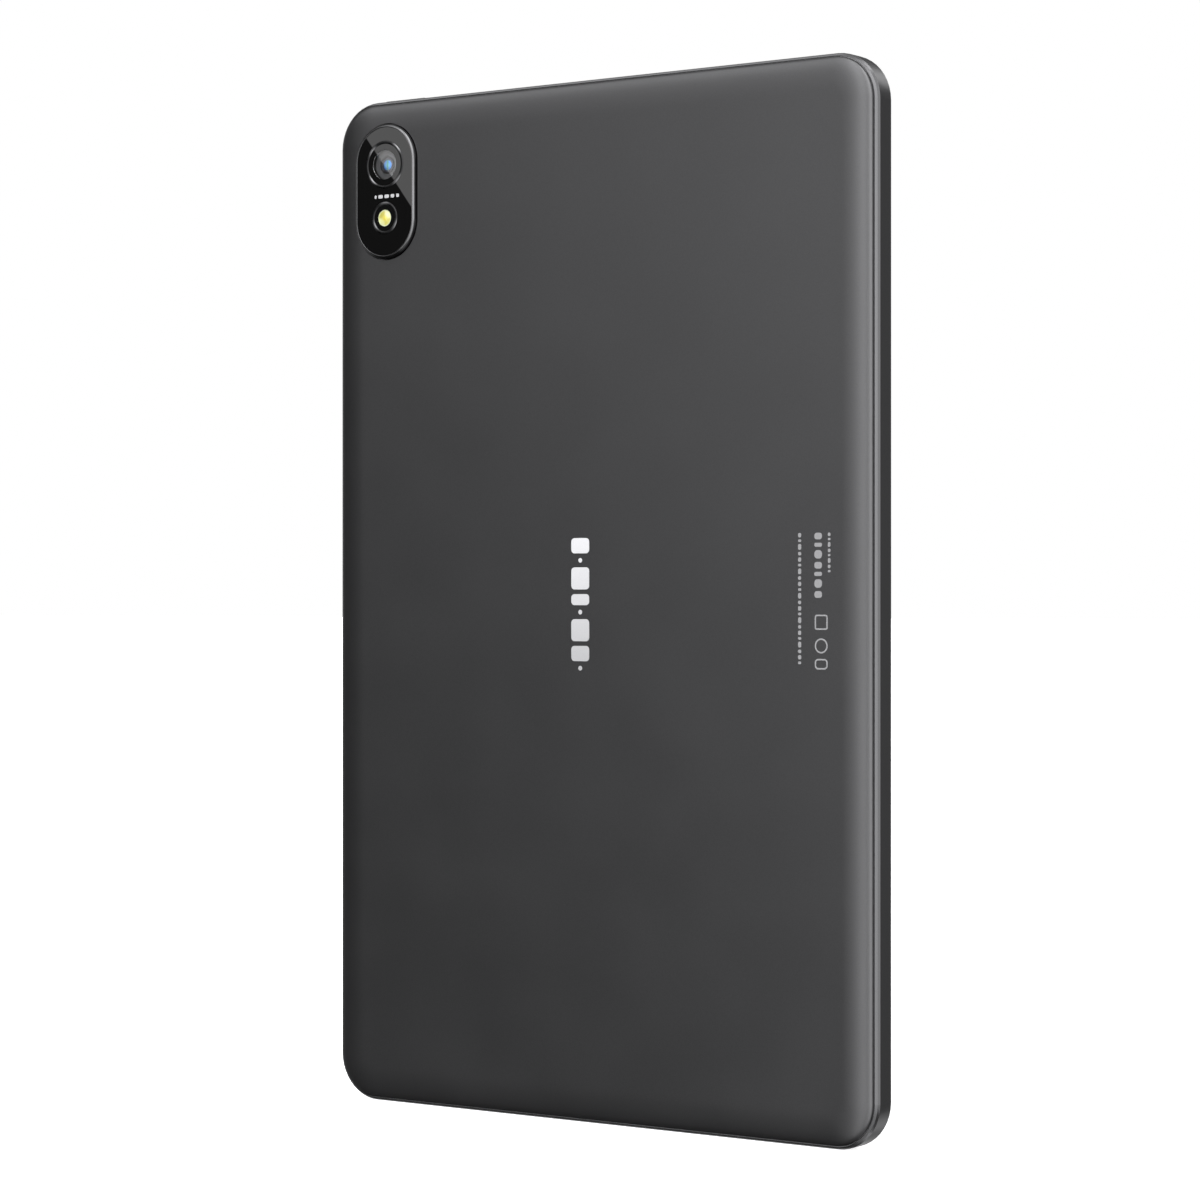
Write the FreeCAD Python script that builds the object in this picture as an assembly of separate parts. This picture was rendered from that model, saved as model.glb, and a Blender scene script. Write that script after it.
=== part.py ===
"""Tablet computer with a ten-inch screen, built as an assembly of separate pieces.

Frame: millimetres. The tablet stands on its short bottom edge, with +Z up along its long side.
The screen faces -Y and the rear cover faces +Y. The origin is at the middle of the bottom edge.
"""
import os
import FreeCAD
import Part
from FreeCAD import Vector
from math import pi

# Whole body
WIDTH = 155.0
HEIGHT = 246.0
THICKNESS = 7.8
CORNER_R = 11.0
FRONT_Y = -THICKNESS / 2
BACK_Y = THICKNESS / 2
MID_Z = HEIGHT / 2

# Side frame section: insets are measured inwards from the outline
BAND_Y = (-3.3, 1.4)
CHAMFER_KNEE = (0.28, 2.1)
CHAMFER_TOP = (0.7, 2.6)
WALL = 1.5
LEDGE_Y = 2.0
SHELF_Y = (-2.9, -2.2)
SHELF_INSET = 3.4
LIP_Y = -3.7
LIP_INSET = (0.35, 0.6)
INNER_X = WIDTH / 2 - WALL

# Rear cover
COVER_INSET = 0.95
COVER_EDGE_Y = 2.75
COVER_CURVE = 7.55
COVER_WALL = 0.6
COVER_INNER_Y = BACK_Y - COVER_WALL
SKIRT_INSET = (1.56, 2.35)
SKIRT_Y = 1.5
COVER_CEILING = (5.5, 2.35, 2.5)

# Display stack
GLASS_INSET = 0.65
GLASS_Y = (FRONT_Y, -3.2)
GLASS_EDGE_R = 0.35
ACTIVE = (135.4, 225.6)
PANEL_BORDER = 1.3
PANEL_Y = (-3.2, -2.0)
BACKLIGHT_Y = (-2.0, -0.9)
PLATE_Y = (-0.9, -0.4)
PLATE_HALF_X = 72.5
PLATE_Z = (7.0, 239.0)
TAB_Z = (22.0, 70.0, 104.0, 142.0, 180.0, 228.0)
TAB_HALF = 5.0
FRONT_CAM_X = 71.6
FRONT_CAM_Z = MID_Z
FRONT_CAM_HALF = 2.3
FRONT_CAM_Y = (-2.6, -0.3)
DRIVER_LEDGE = (62.0, -2.7, 1.6)

# Boards and battery
BOARD_Y = (-0.2, 0.4)
BATTERY_Y = (-0.3, 2.3)
BATTERY_X = (-64.0, 66.0)
BATTERY_Z = (62.0, 180.0)
CELL_GAP = 1.0
MAIN_X = (-70.0, 50.0)
MAIN_Z = (190.0, 226.0)
SUB_X = (-18.0, 73.5)
SUB_Z = (3.0, 58.0)
SUB_STEP_Z = 29.0
FLEX = 0.15

# Camera island
CAM_X = 61.6
LENS_Z = 230.1
FLASH_Z = 217.0
ISLAND_Z = (LENS_Z + FLASH_Z) / 2
ISLAND_HALF = (8.55, 15.75)
BEZEL = 0.6
BEZEL_TOP = BACK_Y + 1.0
BEZEL_FOOT_Y = 2.3
FLANGE_TOP_Y = 3.0
FLANGE_REACH = 1.3
WINDOW_SEAT = 0.7
GROOVE = 0.25
WINDOW_Y = (3.95, 4.8)
LENS_RING_R = (5.1, 5.85)
FLASH_RING_R = (3.17, 4.02)
RING_DEPTH = 0.45
RING_RISE = 0.08
FLASH_R = 2.03
BARREL_R = 3.5
BARREL_Y = (1.1, 3.6)
MOUTH_R = (1.8, 2.2)
MOUTH_DEPTH = 0.8
LENS_R = 1.78
LENS_DOME_R = 3.4
LENS_DOME_RISE = 0.35
HOUSING_HALF = 4.6
FIT = 0.05

# Keys: the rocker is on the +X edge, the power key on the top edge
KEY_Y = (-1.5, 0.5)
KEY_GAP = 0.1
KEY_RISE = 0.3
FLANGE_Y = (-1.9, 0.9)
FLANGE_T = 0.5
ROCKER_Z = (194.0, 216.0)
ROCKER_MID = sum(ROCKER_Z) / 2
ROCKER_PIVOT_X = INNER_X - 1.35
ROCKER_NUB_Z = 8.0
KNUCKLE_Y = (-1.2, 0.2)
EAR_SPAN_Y = (-1.45, 0.45)
EAR_T = 0.2
PIN_R = 0.4
POWER_X = (52.5, 64.5)
POWER_MID = sum(POWER_X) / 2
INNER_TOP = HEIGHT - WALL
DOME_R = 1.6
DOME_H = 0.4
BRACKET_T = 0.5
BRACKET_Y = (-1.9, 0.6)
BRACKET_REACH = 1.4
KEY_ROUND = 0.25
NUB_R = 0.7
POWER_NUB = 0.85
ROCKER_NUB = 0.7
ROCKER_SHIM = 0.15
DOME_GAP = 0.05
POWER_DOME_Z = INNER_TOP - KEY_GAP - FLANGE_T - POWER_NUB - DOME_GAP - DOME_H
VOLUME_DOME_X = INNER_X - KEY_GAP - FLANGE_T - ROCKER_SHIM - ROCKER_NUB - DOME_GAP - DOME_H

# Card tray, leaving through the +X edge
TRAY_Y = (0.45, 1.2)
TRAY_HEAD_Y = (-1.2, 1.2)
TRAY_HEAD_Z = (32.0, 50.0)
TRAY_BODY_Z = (32.6, 45.2)
TRAY_INNER_X = 49.4
ROD_Z = 47.6
ROD_R = 0.28
EJECT_Y = 0.7
EJECT_HOLE_R = 0.4
LEVER_X = 48.5
LEVER_Z = 41.0
LEVER_HALF = (0.8, 7.4)

# Charging port and sound
USB_Y = -0.5
USB_OUTER = (8.94, 3.2)
USB_WALL = 0.3
USB_Z = (0.3, 7.9)
SOUND_Y = -0.5
SOUND_HOLE_R = 0.6
SOUND_PITCH = 2.1
SOUND_COUNT = 8
SPEAKER_X = 34.0
SPEAKER_SIZE = (32.0, 2.7, 14.0)
SPEAKER_EDGE = 2.5
CONE_SIZE = (17.4, 8.4)
CONE_Y = (1.8, 2.05)
MIC_HOLE_R = 0.5
MIC_TOP_X = 0.0
MIC_BOTTOM_X = -13.0
MESH_T = 0.1
MESH_HALF = (9.0, 1.0)
SPEAKER_WALL = 0.6

# Screws
SCREW_R = 0.6
SCREW_HEAD_R = 1.2
SCREW_HEAD_H = 0.4
BOSS_R = 1.7
CAN_TOP_Y = 1.9
CAN_WALL = 0.15


def block(x, y, z):
    """Box between the low and high values of each axis."""
    return Part.makeBox(x[1] - x[0], y[1] - y[0], z[1] - z[0], Vector(x[0], y[0], z[0]))


def disc(x, z, radius, y):
    """Round plate or rod along Y."""
    return Part.makeCylinder(radius, y[1] - y[0], Vector(x, y[0], z), Vector(0, 1, 0))


def tube(x, z, inner, outer, y):
    """Round ring along Y."""
    return disc(x, z, outer, y).cut(disc(x, z, inner, y))


def fuse(*pieces):
    """One shape from several that touch or overlap."""
    whole = pieces[0].multiFuse(list(pieces[1:]))
    return whole.removeSplitter()


def rounded_plate(x, z, radius, y):
    """Plate in the XZ plane with rounded corners."""
    plate = block(x, y, z)
    corners = [e for e in plate.Edges if abs(e.tangentAt(e.FirstParameter).y) > 0.99]
    return plate.makeFillet(radius, corners)


def body_plate(inset, y):
    """Plate that follows the outline of the tablet at an inset."""
    half = WIDTH / 2 - inset
    return rounded_plate((-half, half), (inset, HEIGHT - inset), CORNER_R - inset, y)


def pill(half_x, half_z, y, z=ISLAND_Z):
    """Plate with round ends, centred on the camera island."""
    ends = [disc(CAM_X, z + side * (half_z - half_x), half_x, y) for side in (-1, 1)]
    middle = block((CAM_X - half_x, CAM_X + half_x), y, (z - half_z + half_x, z + half_z - half_x))
    return fuse(middle, *ends)


def stadium_z(x, y, half_x, half_y, z):
    """Bar along Z with a flat-sided round section, wider along X."""
    ends = [
        Part.makeCylinder(half_y, z[1] - z[0], Vector(x + side * (half_x - half_y), y, z[0]))
        for side in (-1, 1)
    ]
    middle = block((x - half_x + half_y, x + half_x - half_y), (y - half_y, y + half_y), z)
    return fuse(middle, *ends)


def rim(edges):
    """Closed ring around the body, from one section drawn at the +X side.

    The section lies in a plane of constant Z, with x as its distance from the tablet's middle.
    """
    section = Part.Face(Part.Wire(edges))
    corner_x = WIDTH / 2 - CORNER_R
    corner_z = HEIGHT / 2 - CORNER_R
    side = section.extrude(Vector(0, 0, corner_z))
    section.translate(Vector(0, 0, corner_z))
    corner = section.revolve(Vector(corner_x, 0, corner_z), Vector(0, -1, 0), 90)
    section.rotate(Vector(corner_x, 0, corner_z), Vector(0, -1, 0), 90)
    top = section.extrude(Vector(-corner_x, 0, 0))
    quarter = fuse(side, corner, top)
    half = fuse(quarter, quarter.mirror(Vector(), Vector(1, 0, 0)))
    whole = fuse(half, half.mirror(Vector(), Vector(0, 0, 1)))
    whole.translate(Vector(0, 0, MID_Z))
    return whole


def section_lines(points):
    """Straight edges of a section, through points of inset and y."""
    places = [Vector(WIDTH / 2 - inset, y, 0) for inset, y in points]
    return [Part.LineSegment(a, b).toShape() for a, b in zip(places, places[1:])]


# Casing

def side_frame():
    """Side band with its two-facet chamfer, the shelf for the glass and the openings for keys and ports."""
    knee, top = CHAMFER_KNEE, CHAMFER_TOP
    outline = [
        (0, BAND_Y[0]), (0, BAND_Y[1]), knee, top, (top[0], LEDGE_Y), (WALL, LEDGE_Y),
        (WALL, SHELF_Y[1]), (SHELF_INSET, SHELF_Y[1]), (SHELF_INSET, SHELF_Y[0]),
        (LIP_INSET[1], SHELF_Y[0]), (LIP_INSET[1], LIP_Y), (LIP_INSET[0], LIP_Y), (0, BAND_Y[0]),
    ]
    frame = rim(section_lines(outline))
    return frame.cut(Part.makeCompound(frame_openings()))


def frame_openings():
    """Everything that passes through the wall of the side frame."""
    reach = WALL + 0.5
    key_y = (KEY_Y[0] - KEY_GAP, KEY_Y[1] + KEY_GAP)
    bottom = (-1.0, reach)
    top = (HEIGHT - reach, HEIGHT + 1.0)
    right = (WIDTH / 2 - reach, WIDTH / 2 + 1.0)
    tray_y = (TRAY_HEAD_Y[0] - KEY_GAP, TRAY_HEAD_Y[1] + KEY_GAP)
    tray_z = (TRAY_HEAD_Z[0] - KEY_GAP, TRAY_HEAD_Z[1] + KEY_GAP)
    holes = [
        block((POWER_X[0] - KEY_GAP, POWER_X[1] + KEY_GAP), key_y, top),
        block(right, key_y, (ROCKER_Z[0] - KEY_GAP, ROCKER_Z[1] + KEY_GAP)),
        block(right, tray_y, tray_z),
        stadium_z(0, USB_Y, USB_OUTER[0] / 2 + FIT, USB_OUTER[1] / 2 + FIT, bottom),
        Part.makeCylinder(MIC_HOLE_R, top[1] - top[0], Vector(MIC_TOP_X, SOUND_Y, top[0])),
        Part.makeCylinder(MIC_HOLE_R, bottom[1] - bottom[0], Vector(MIC_BOTTOM_X, SOUND_Y, bottom[0])),
    ]
    for z in (top, bottom):
        for x in speaker_hole_places():
            holes.append(Part.makeCylinder(SOUND_HOLE_R, z[1] - z[0], Vector(x, SOUND_Y, z[0])))
    return holes


def speaker_hole_places():
    """X places of the sound holes in each short edge."""
    first = -SOUND_PITCH * (SOUND_COUNT - 1) / 2
    row = [first + SOUND_PITCH * i for i in range(SOUND_COUNT)]
    return [side * SPEAKER_X + x for side in (-1, 1) for x in row]


def rear_cover():
    """Shallow tray whose edge falls away in a quarter ellipse, with a skirt inside the frame."""
    inner_edge = CORNER_R - 1.0
    curve_end = COVER_INSET + COVER_CURVE
    middle = Vector(WIDTH / 2 - curve_end, COVER_EDGE_Y, 0)
    across = middle + Vector(COVER_CURVE, 0, 0)
    up = middle + Vector(0, BACK_Y - COVER_EDGE_Y, 0)
    curve = Part.Arc(Part.Ellipse(across, up, middle), 0, pi / 2).toShape()
    slope_inset, skirt_inset, ceiling = COVER_CEILING
    under = [
        (curve_end, BACK_Y), (inner_edge, BACK_Y), (inner_edge, COVER_INNER_Y),
        (slope_inset, COVER_INNER_Y), (skirt_inset, ceiling), (SKIRT_INSET[1], SKIRT_Y),
        (SKIRT_INSET[0], SKIRT_Y), (SKIRT_INSET[0], LEDGE_Y), (COVER_INSET, LEDGE_Y),
        (COVER_INSET, COVER_EDGE_Y),
    ]
    edge = rim([curve] + section_lines(under))
    flat = body_plate(inner_edge, (COVER_INNER_Y, BACK_Y))
    island = pill(ISLAND_HALF[0] + BEZEL + GROOVE, ISLAND_HALF[1] + BEZEL + GROOVE, (SKIRT_Y, BACK_Y + 1))
    return fuse(edge, flat).cut(island)


def mid_plate():
    """Stamped plate between screen and battery, with tabs to the frame and bosses for the screws."""
    plate = rounded_plate((-PLATE_HALF_X, PLATE_HALF_X), PLATE_Z, 6.0, PLATE_Y)
    tab_reach = INNER_X - 0.1
    tabs = []
    for z in TAB_Z:
        for side in (-1, 1):
            if side > 0 and z == TAB_Z[-1]:
                continue
            ends = sorted((side * (PLATE_HALF_X - 1.0), side * tab_reach))
            tabs.append(block(ends, PLATE_Y, (z - TAB_HALF, z + TAB_HALF)))
    bosses = [disc(x, z, BOSS_R, (PLATE_Y[1], BOARD_Y[0])) for x, z in screw_places()]
    plate = fuse(plate, *tabs, *bosses)
    openings = [disc(x, z, SCREW_R + FIT, (PLATE_Y[0], BOARD_Y[0])) for x, z in screw_places()]
    openings.append(block((69.0, 80.0), PLATE_Y, (FRONT_CAM_Z - 3.0, FRONT_CAM_Z + 3.0)))
    openings.append(block((-USB_OUTER[0] / 2 - 0.6, USB_OUTER[0] / 2 + 0.6), PLATE_Y, (0, 9.0)))
    for x in (-30.0, 30.0):
        for z in (80.0, 165.0):
            openings.append(rounded_plate((x - 14.0, x + 14.0), (z - 8.0, z + 8.0), 2.0, PLATE_Y))
    return plate.cut(Part.makeCompound(openings))


def screw_places():
    """Screws that hold the boards down on the mid plate."""
    main = [(x, z) for x in (-62.5, -14.0, 46.0) for z in (193.5, 222.5)]
    sub = [(-15.0, 33.0), (20.0, 33.0), (-15.0, 54.0), (20.0, 54.0), (69.5, 54.5), (44.0, 54.5)]
    return main + sub


# Screen

def cover_glass():
    """Front glass with a softly rounded front edge."""
    glass = body_plate(GLASS_INSET, GLASS_Y)
    front = [e for e in glass.Edges if abs(e.BoundBox.YMin - FRONT_Y) < 0.01 and e.BoundBox.YLength < 0.01]
    return glass.makeFillet(GLASS_EDGE_R, front)


def display_adhesive():
    """Foam tape ring that bonds the glass to the shelf of the frame."""
    y = (GLASS_Y[1], SHELF_Y[0])
    return body_plate(0.9, y).cut(body_plate(3.2, y))


def screen_plate(border, y):
    """Rectangular layer of the screen, larger than the lit area by a border."""
    half_x = ACTIVE[0] / 2 + border
    half_z = ACTIVE[1] / 2 + border
    return block((-half_x, half_x), y, (MID_Z - half_z, MID_Z + half_z))


def display_panel():
    """Liquid-crystal cell with its driver ledge along the top edge."""
    ledge_z = MID_Z + ACTIVE[1] / 2 + PANEL_BORDER
    cell = screen_plate(PANEL_BORDER, PANEL_Y)
    half_x, back_y, height = DRIVER_LEDGE
    ledge = block((-half_x, half_x), (PANEL_Y[0], back_y), (ledge_z, ledge_z + height))
    return fuse(cell, ledge)


def backlight_unit():
    """Light guide in a shallow steel tray with a folded rim."""
    return screen_plate(PANEL_BORDER, BACKLIGHT_Y)


def display_flex():
    """Ribbon from the driver ledge, round the edge of the mid plate, to the main board."""
    x = (-12.0, 12.0)
    turn_z = 240.4
    ledge_y = DRIVER_LEDGE[1]
    front = block(x, (ledge_y, ledge_y + FLEX), (237.8, turn_z))
    side = block(x, (ledge_y, BOARD_Y[1] + FLEX), (turn_z - FLEX, turn_z))
    back = block(x, (BOARD_Y[1], BOARD_Y[1] + FLEX), (216.0, turn_z))
    plug = block((-9.0, 9.0), (BOARD_Y[1] + FLEX, BOARD_Y[1] + 1.0), (217.0, 220.0))
    return fuse(front, side, back, plug)


def front_camera():
    """Small camera behind the front glass, halfway up the +X border."""
    half = FRONT_CAM_HALF
    x = (FRONT_CAM_X - half, FRONT_CAM_X + half)
    z = (FRONT_CAM_Z - half, FRONT_CAM_Z + half)
    body = block(x, FRONT_CAM_Y, z)
    nose = disc(FRONT_CAM_X, FRONT_CAM_Z, 1.5, (GLASS_Y[1], FRONT_CAM_Y[0]))
    pupil = disc(FRONT_CAM_X, FRONT_CAM_Z, 0.8, (GLASS_Y[1], GLASS_Y[1] + 0.3))
    return fuse(body, nose).cut(pupil)


# Camera island

def camera_bezel():
    """Metal ring of the island, with a seat for the window and a flange under the cover."""
    half_x, half_z = ISLAND_HALF
    outer = pill(half_x + BEZEL, half_z + BEZEL, (BEZEL_FOOT_Y, BEZEL_TOP))
    rim_edges = [e for e in outer.Edges if abs(e.BoundBox.YMin - BEZEL_TOP) < 0.01]
    outer = outer.makeChamfer(0.15, rim_edges)
    spread = BEZEL + FLANGE_REACH
    flange = pill(half_x + spread, half_z + spread, (BEZEL_FOOT_Y, FLANGE_TOP_Y))
    seat = pill(half_x + 0.02, half_z + 0.02, (WINDOW_Y[0], BEZEL_TOP))
    opening = pill(half_x - WINDOW_SEAT, half_z - WINDOW_SEAT, (BEZEL_FOOT_Y, WINDOW_Y[0]))
    return fuse(outer, flange).cut(fuse(seat, opening))


def camera_window():
    """Glass of the island, with round grooves for both trim rings and a hole for the flash."""
    glass = pill(*ISLAND_HALF, WINDOW_Y)
    groove_y = (WINDOW_Y[1] - RING_DEPTH, WINDOW_Y[1])
    cuts = [
        tube(CAM_X, LENS_Z, LENS_RING_R[0] - 0.01, LENS_RING_R[1] + 0.01, groove_y),
        tube(CAM_X, FLASH_Z, FLASH_RING_R[0] - 0.01, FLASH_RING_R[1] + 0.01, groove_y),
        disc(CAM_X, FLASH_Z, FLASH_R + 0.02, WINDOW_Y),
    ]
    return glass.cut(Part.makeCompound(cuts))


def trim_ring(z, radii):
    """Ring let into the window, standing slightly proud with a rounded crown."""
    y = (WINDOW_Y[1] - RING_DEPTH, WINDOW_Y[1] + RING_RISE)
    ring = tube(CAM_X, z, radii[0], radii[1], y)
    crown = [e for e in ring.Edges if abs(e.BoundBox.YMin - y[1]) < 0.01]
    return ring.makeChamfer(RING_RISE * 0.9, crown)


def flash_diffuser():
    """Yellow flash lens with a flange behind the window."""
    lens = disc(CAM_X, FLASH_Z, FLASH_R, (3.45, WINDOW_Y[1] - 0.05))
    flange = disc(CAM_X, FLASH_Z, FLASH_R + 0.8, (3.45, WINDOW_Y[0]))
    return fuse(lens, flange)


def flash_led():
    """Light-emitting chip on its small board."""
    chip = block((CAM_X - 1.1, CAM_X + 1.1), (2.8, 3.4), (FLASH_Z - 1.1, FLASH_Z + 1.1))
    board = block((CAM_X - 3.0, CAM_X + 3.0), (2.3, 2.8), (FLASH_Z - 2.6, FLASH_Z + 2.6))
    post = block((CAM_X - 2.0, CAM_X + 2.0), (PLATE_Y[1], 2.3), (FLASH_Z - 2.0, FLASH_Z + 2.0))
    return fuse(chip, board, post)


def camera_square(half, y):
    """Square block centred on the rear camera."""
    return block((CAM_X - half, CAM_X + half), y, (LENS_Z - half, LENS_Z + half))


def rear_camera_housing():
    """Square focus-motor case around the lens barrel."""
    case = camera_square(HOUSING_HALF, (0.5, 3.3))
    return case.cut(disc(CAM_X, LENS_Z, BARREL_R + FIT, (0.8, 3.3))).cut(
        disc(CAM_X, LENS_Z, 2.4, (0.5, 0.8)))


def rear_camera_sensor():
    """Image sensor on the camera's own board."""
    board = camera_square(HOUSING_HALF, (-0.3, 0.5))
    chip = disc(CAM_X, LENS_Z, 2.2, (0.5, 0.75))
    return fuse(board, chip)


def lens_barrel():
    """Barrel that the focus motor moves towards the window, with a wide conical mouth."""
    body = disc(CAM_X, LENS_Z, BARREL_R, BARREL_Y)
    bore = disc(CAM_X, LENS_Z, MOUTH_R[0], BARREL_Y)
    deep = Vector(CAM_X, BARREL_Y[1] - MOUTH_DEPTH, LENS_Z)
    mouth = Part.makeCone(*MOUTH_R, MOUTH_DEPTH, deep, Vector(0, 1, 0))
    return body.cut(bore).cut(mouth)


def rear_camera_lens():
    """Front lens element with a shallow dome."""
    disc_y = (BARREL_Y[1] - 0.85, BARREL_Y[1] - 0.45)
    element = disc(CAM_X, LENS_Z, LENS_R, disc_y)
    centre = Vector(CAM_X, disc_y[1] + LENS_DOME_RISE - LENS_DOME_R, LENS_Z)
    dome_span = disc(CAM_X, LENS_Z, 1.35, (disc_y[1] - 0.1, WINDOW_Y[0]))
    dome = Part.makeSphere(LENS_DOME_R, centre).common(dome_span)
    return fuse(element, dome)


def rear_camera_flex():
    """Ribbon from the camera's board to the underside of the main board."""
    y = (BOARD_Y[0] - FLEX, BOARD_Y[0])
    return block((40.0, CAM_X - HOUSING_HALF), y, (LENS_Z - HOUSING_HALF - 0.5, LENS_Z - 0.9))


def camera_gasket():
    """Foam ring that keeps dust out between motor case and window."""
    return tube(CAM_X, LENS_Z, BARREL_R + 0.35, HOUSING_HALF, (3.3, WINDOW_Y[0]))


# Keys

def dome(x, z, axis):
    """Snap dome: a shallow cap whose top faces the key."""
    sphere_r = (DOME_R ** 2 + DOME_H ** 2) / (2 * DOME_H)
    direction = Vector(*axis)
    base = Vector(x, USB_Y, z)
    ball = Part.makeSphere(sphere_r, base + direction * (DOME_H - sphere_r))
    half_space = Part.makeCylinder(DOME_R + 1.0, DOME_H + 1.0, base, direction)
    return ball.common(half_space)


def power_key():
    """Push key through the top edge, held in by a flange and with a nub on the dome."""
    head = block(POWER_X, KEY_Y, (INNER_TOP - KEY_GAP, HEIGHT + KEY_RISE))
    outer = [e for e in head.Edges if abs(e.BoundBox.ZMin - HEIGHT - KEY_RISE) < 0.01]
    head = head.makeFillet(KEY_ROUND, outer)
    flange_z = (INNER_TOP - KEY_GAP - FLANGE_T, INNER_TOP - KEY_GAP)
    flange = block((POWER_X[0] - 0.8, POWER_X[1] + 0.8), FLANGE_Y, flange_z)
    nub = Part.makeCylinder(NUB_R, POWER_NUB, Vector(POWER_MID, USB_Y, flange_z[0] - POWER_NUB))
    return fuse(head, flange, nub)


def power_key_dome():
    """Snap dome under the power key."""
    return dome(POWER_MID, POWER_DOME_Z, (0, 0, 1))


def power_key_flex():
    """Switch ribbon behind the power key, with a tail that turns down to the main board."""
    z = (POWER_DOME_Z - FLEX, POWER_DOME_Z)
    tail_x = (POWER_MID - 6.4, POWER_MID - 3.4)
    tail_y = (0.8 - FLEX, 0.8)
    foot_z = (217.5, 221.0)
    pad = block((tail_x[0], POWER_MID + 5.0), (-1.8, 0.8), z)
    tail = block(tail_x, tail_y, (foot_z[0], z[1]))
    foot = block((MAIN_X[1] - 4.0, tail_x[1]), tail_y, foot_z)
    return fuse(pad, tail, foot)


def power_key_bracket():
    """Steel plate that backs the switch ribbon, with bent ends that stand on the frame."""
    z = (POWER_DOME_Z - FLEX - BRACKET_T, POWER_DOME_Z - FLEX)
    reach = (POWER_X[1] - POWER_X[0]) / 2 + BRACKET_REACH
    plate = block((POWER_MID - reach, POWER_MID + reach), BRACKET_Y, z)
    ends = [
        block((x, x + BRACKET_T), BRACKET_Y, (z[0], INNER_TOP))
        for x in (POWER_MID - reach, POWER_MID + reach - BRACKET_T)
    ]
    return fuse(plate, *ends)


def volume_rocker():
    """Two-way key through the +X edge that rocks on a pin behind its middle."""
    head = block((INNER_X - KEY_GAP, WIDTH / 2 + KEY_RISE), KEY_Y, ROCKER_Z)
    outer = [e for e in head.Edges if abs(e.BoundBox.XMin - WIDTH / 2 - KEY_RISE) < 0.01]
    head = head.makeFillet(KEY_ROUND, outer)
    flange_top = INNER_X - KEY_GAP - ROCKER_SHIM
    flange_x = (flange_top - FLANGE_T, flange_top)
    flange = block(flange_x, FLANGE_Y, (ROCKER_Z[0] - 0.8, ROCKER_Z[1] + 0.8))
    neck = block((flange_x[1], INNER_X - KEY_GAP), KEY_Y, ROCKER_Z)
    arm = block((ROCKER_PIVOT_X, flange_x[0]), KNUCKLE_Y, (ROCKER_MID - 0.8, ROCKER_MID + 0.8))
    knuckle = disc(ROCKER_PIVOT_X, ROCKER_MID, 0.8, KNUCKLE_Y)
    feet = [Vector(flange_x[0] - ROCKER_NUB, USB_Y, ROCKER_MID + side * ROCKER_NUB_Z) for side in (-1, 1)]
    nubs = [Part.makeCylinder(NUB_R, ROCKER_NUB, foot, Vector(1, 0, 0)) for foot in feet]
    key = fuse(head, neck, flange, arm, knuckle, *nubs)
    return key.cut(disc(ROCKER_PIVOT_X, ROCKER_MID, PIN_R + FIT, KNUCKLE_Y))


def volume_domes():
    """Two snap domes under the ends of the rocker."""
    domes = [dome(VOLUME_DOME_X, ROCKER_MID + side * ROCKER_NUB_Z, (1, 0, 0)) for side in (-1, 1)]
    return Part.makeCompound(domes)


def volume_key_flex():
    """Switch ribbon behind the rocker, with a window for its pivot and a tail to the board."""
    x = (VOLUME_DOME_X - FLEX, VOLUME_DOME_X)
    strip = block(x, (-1.8, 0.8), (ROCKER_MID - 11.0, ROCKER_MID + 11.0))
    window = block(x, (-1.5, 0.5), (ROCKER_MID - 1.6, ROCKER_MID + 1.6))
    tail = block((MAIN_X[1] - 4.0, x[1]), (0.8 - FLEX, 0.8), (ROCKER_MID + 6.0, ROCKER_MID + 10.0))
    return fuse(strip.cut(window), tail)


def volume_key_bracket():
    """Steel strip that backs the switch ribbon, with two ears that hold the rocker's pin."""
    x = (VOLUME_DOME_X - FLEX - BRACKET_T, VOLUME_DOME_X - FLEX)
    reach = (ROCKER_Z[1] - ROCKER_Z[0]) / 2 + BRACKET_REACH
    strip = block(x, BRACKET_Y, (ROCKER_MID - reach, ROCKER_MID + reach))
    window = block(x, EAR_SPAN_Y, (ROCKER_MID - 1.5, ROCKER_MID + 1.5))
    ends = [
        block((x[0], INNER_X), BRACKET_Y, (z, z + BRACKET_T))
        for z in (ROCKER_MID - reach, ROCKER_MID + reach - BRACKET_T)
    ]
    ears = [
        block((x[0], ROCKER_PIVOT_X + 0.6), y, (ROCKER_MID - 0.7, ROCKER_MID + 0.7))
        for y in ((EAR_SPAN_Y[0], EAR_SPAN_Y[0] + EAR_T), (EAR_SPAN_Y[1] - EAR_T, EAR_SPAN_Y[1]))
    ]
    pin_hole = disc(ROCKER_PIVOT_X, ROCKER_MID, PIN_R, BRACKET_Y)
    return fuse(strip.cut(window), *ends, *ears).cut(pin_hole)


def rocker_pin():
    """Pin that the rocker turns on."""
    return disc(ROCKER_PIVOT_X, ROCKER_MID, PIN_R, EAR_SPAN_Y)


# Card tray and its ejector

def card_tray():
    """Tray with two card pockets behind a head that closes the slot."""
    head = block((INNER_X, WIDTH / 2), TRAY_HEAD_Y, TRAY_HEAD_Z)
    plate = block((TRAY_INNER_X, INNER_X), TRAY_Y, TRAY_BODY_Z)
    mid = sum(TRAY_BODY_Z) / 2
    pocket_y = (TRAY_Y[0] + 0.15, TRAY_Y[1])
    memory = block((TRAY_INNER_X + 9.5, TRAY_INNER_X + 24.3), pocket_y, (mid - 5.5, mid + 5.5))
    window = block((TRAY_INNER_X + 1.5, TRAY_INNER_X + 8.0), TRAY_Y, (mid - 4.6, mid + 4.6))
    eject_hole = Part.makeCylinder(EJECT_HOLE_R, WALL, Vector(INNER_X, EJECT_Y, ROD_Z), Vector(1, 0, 0))
    return fuse(head, plate).cut(Part.makeCompound([memory, window, eject_hole]))


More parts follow.
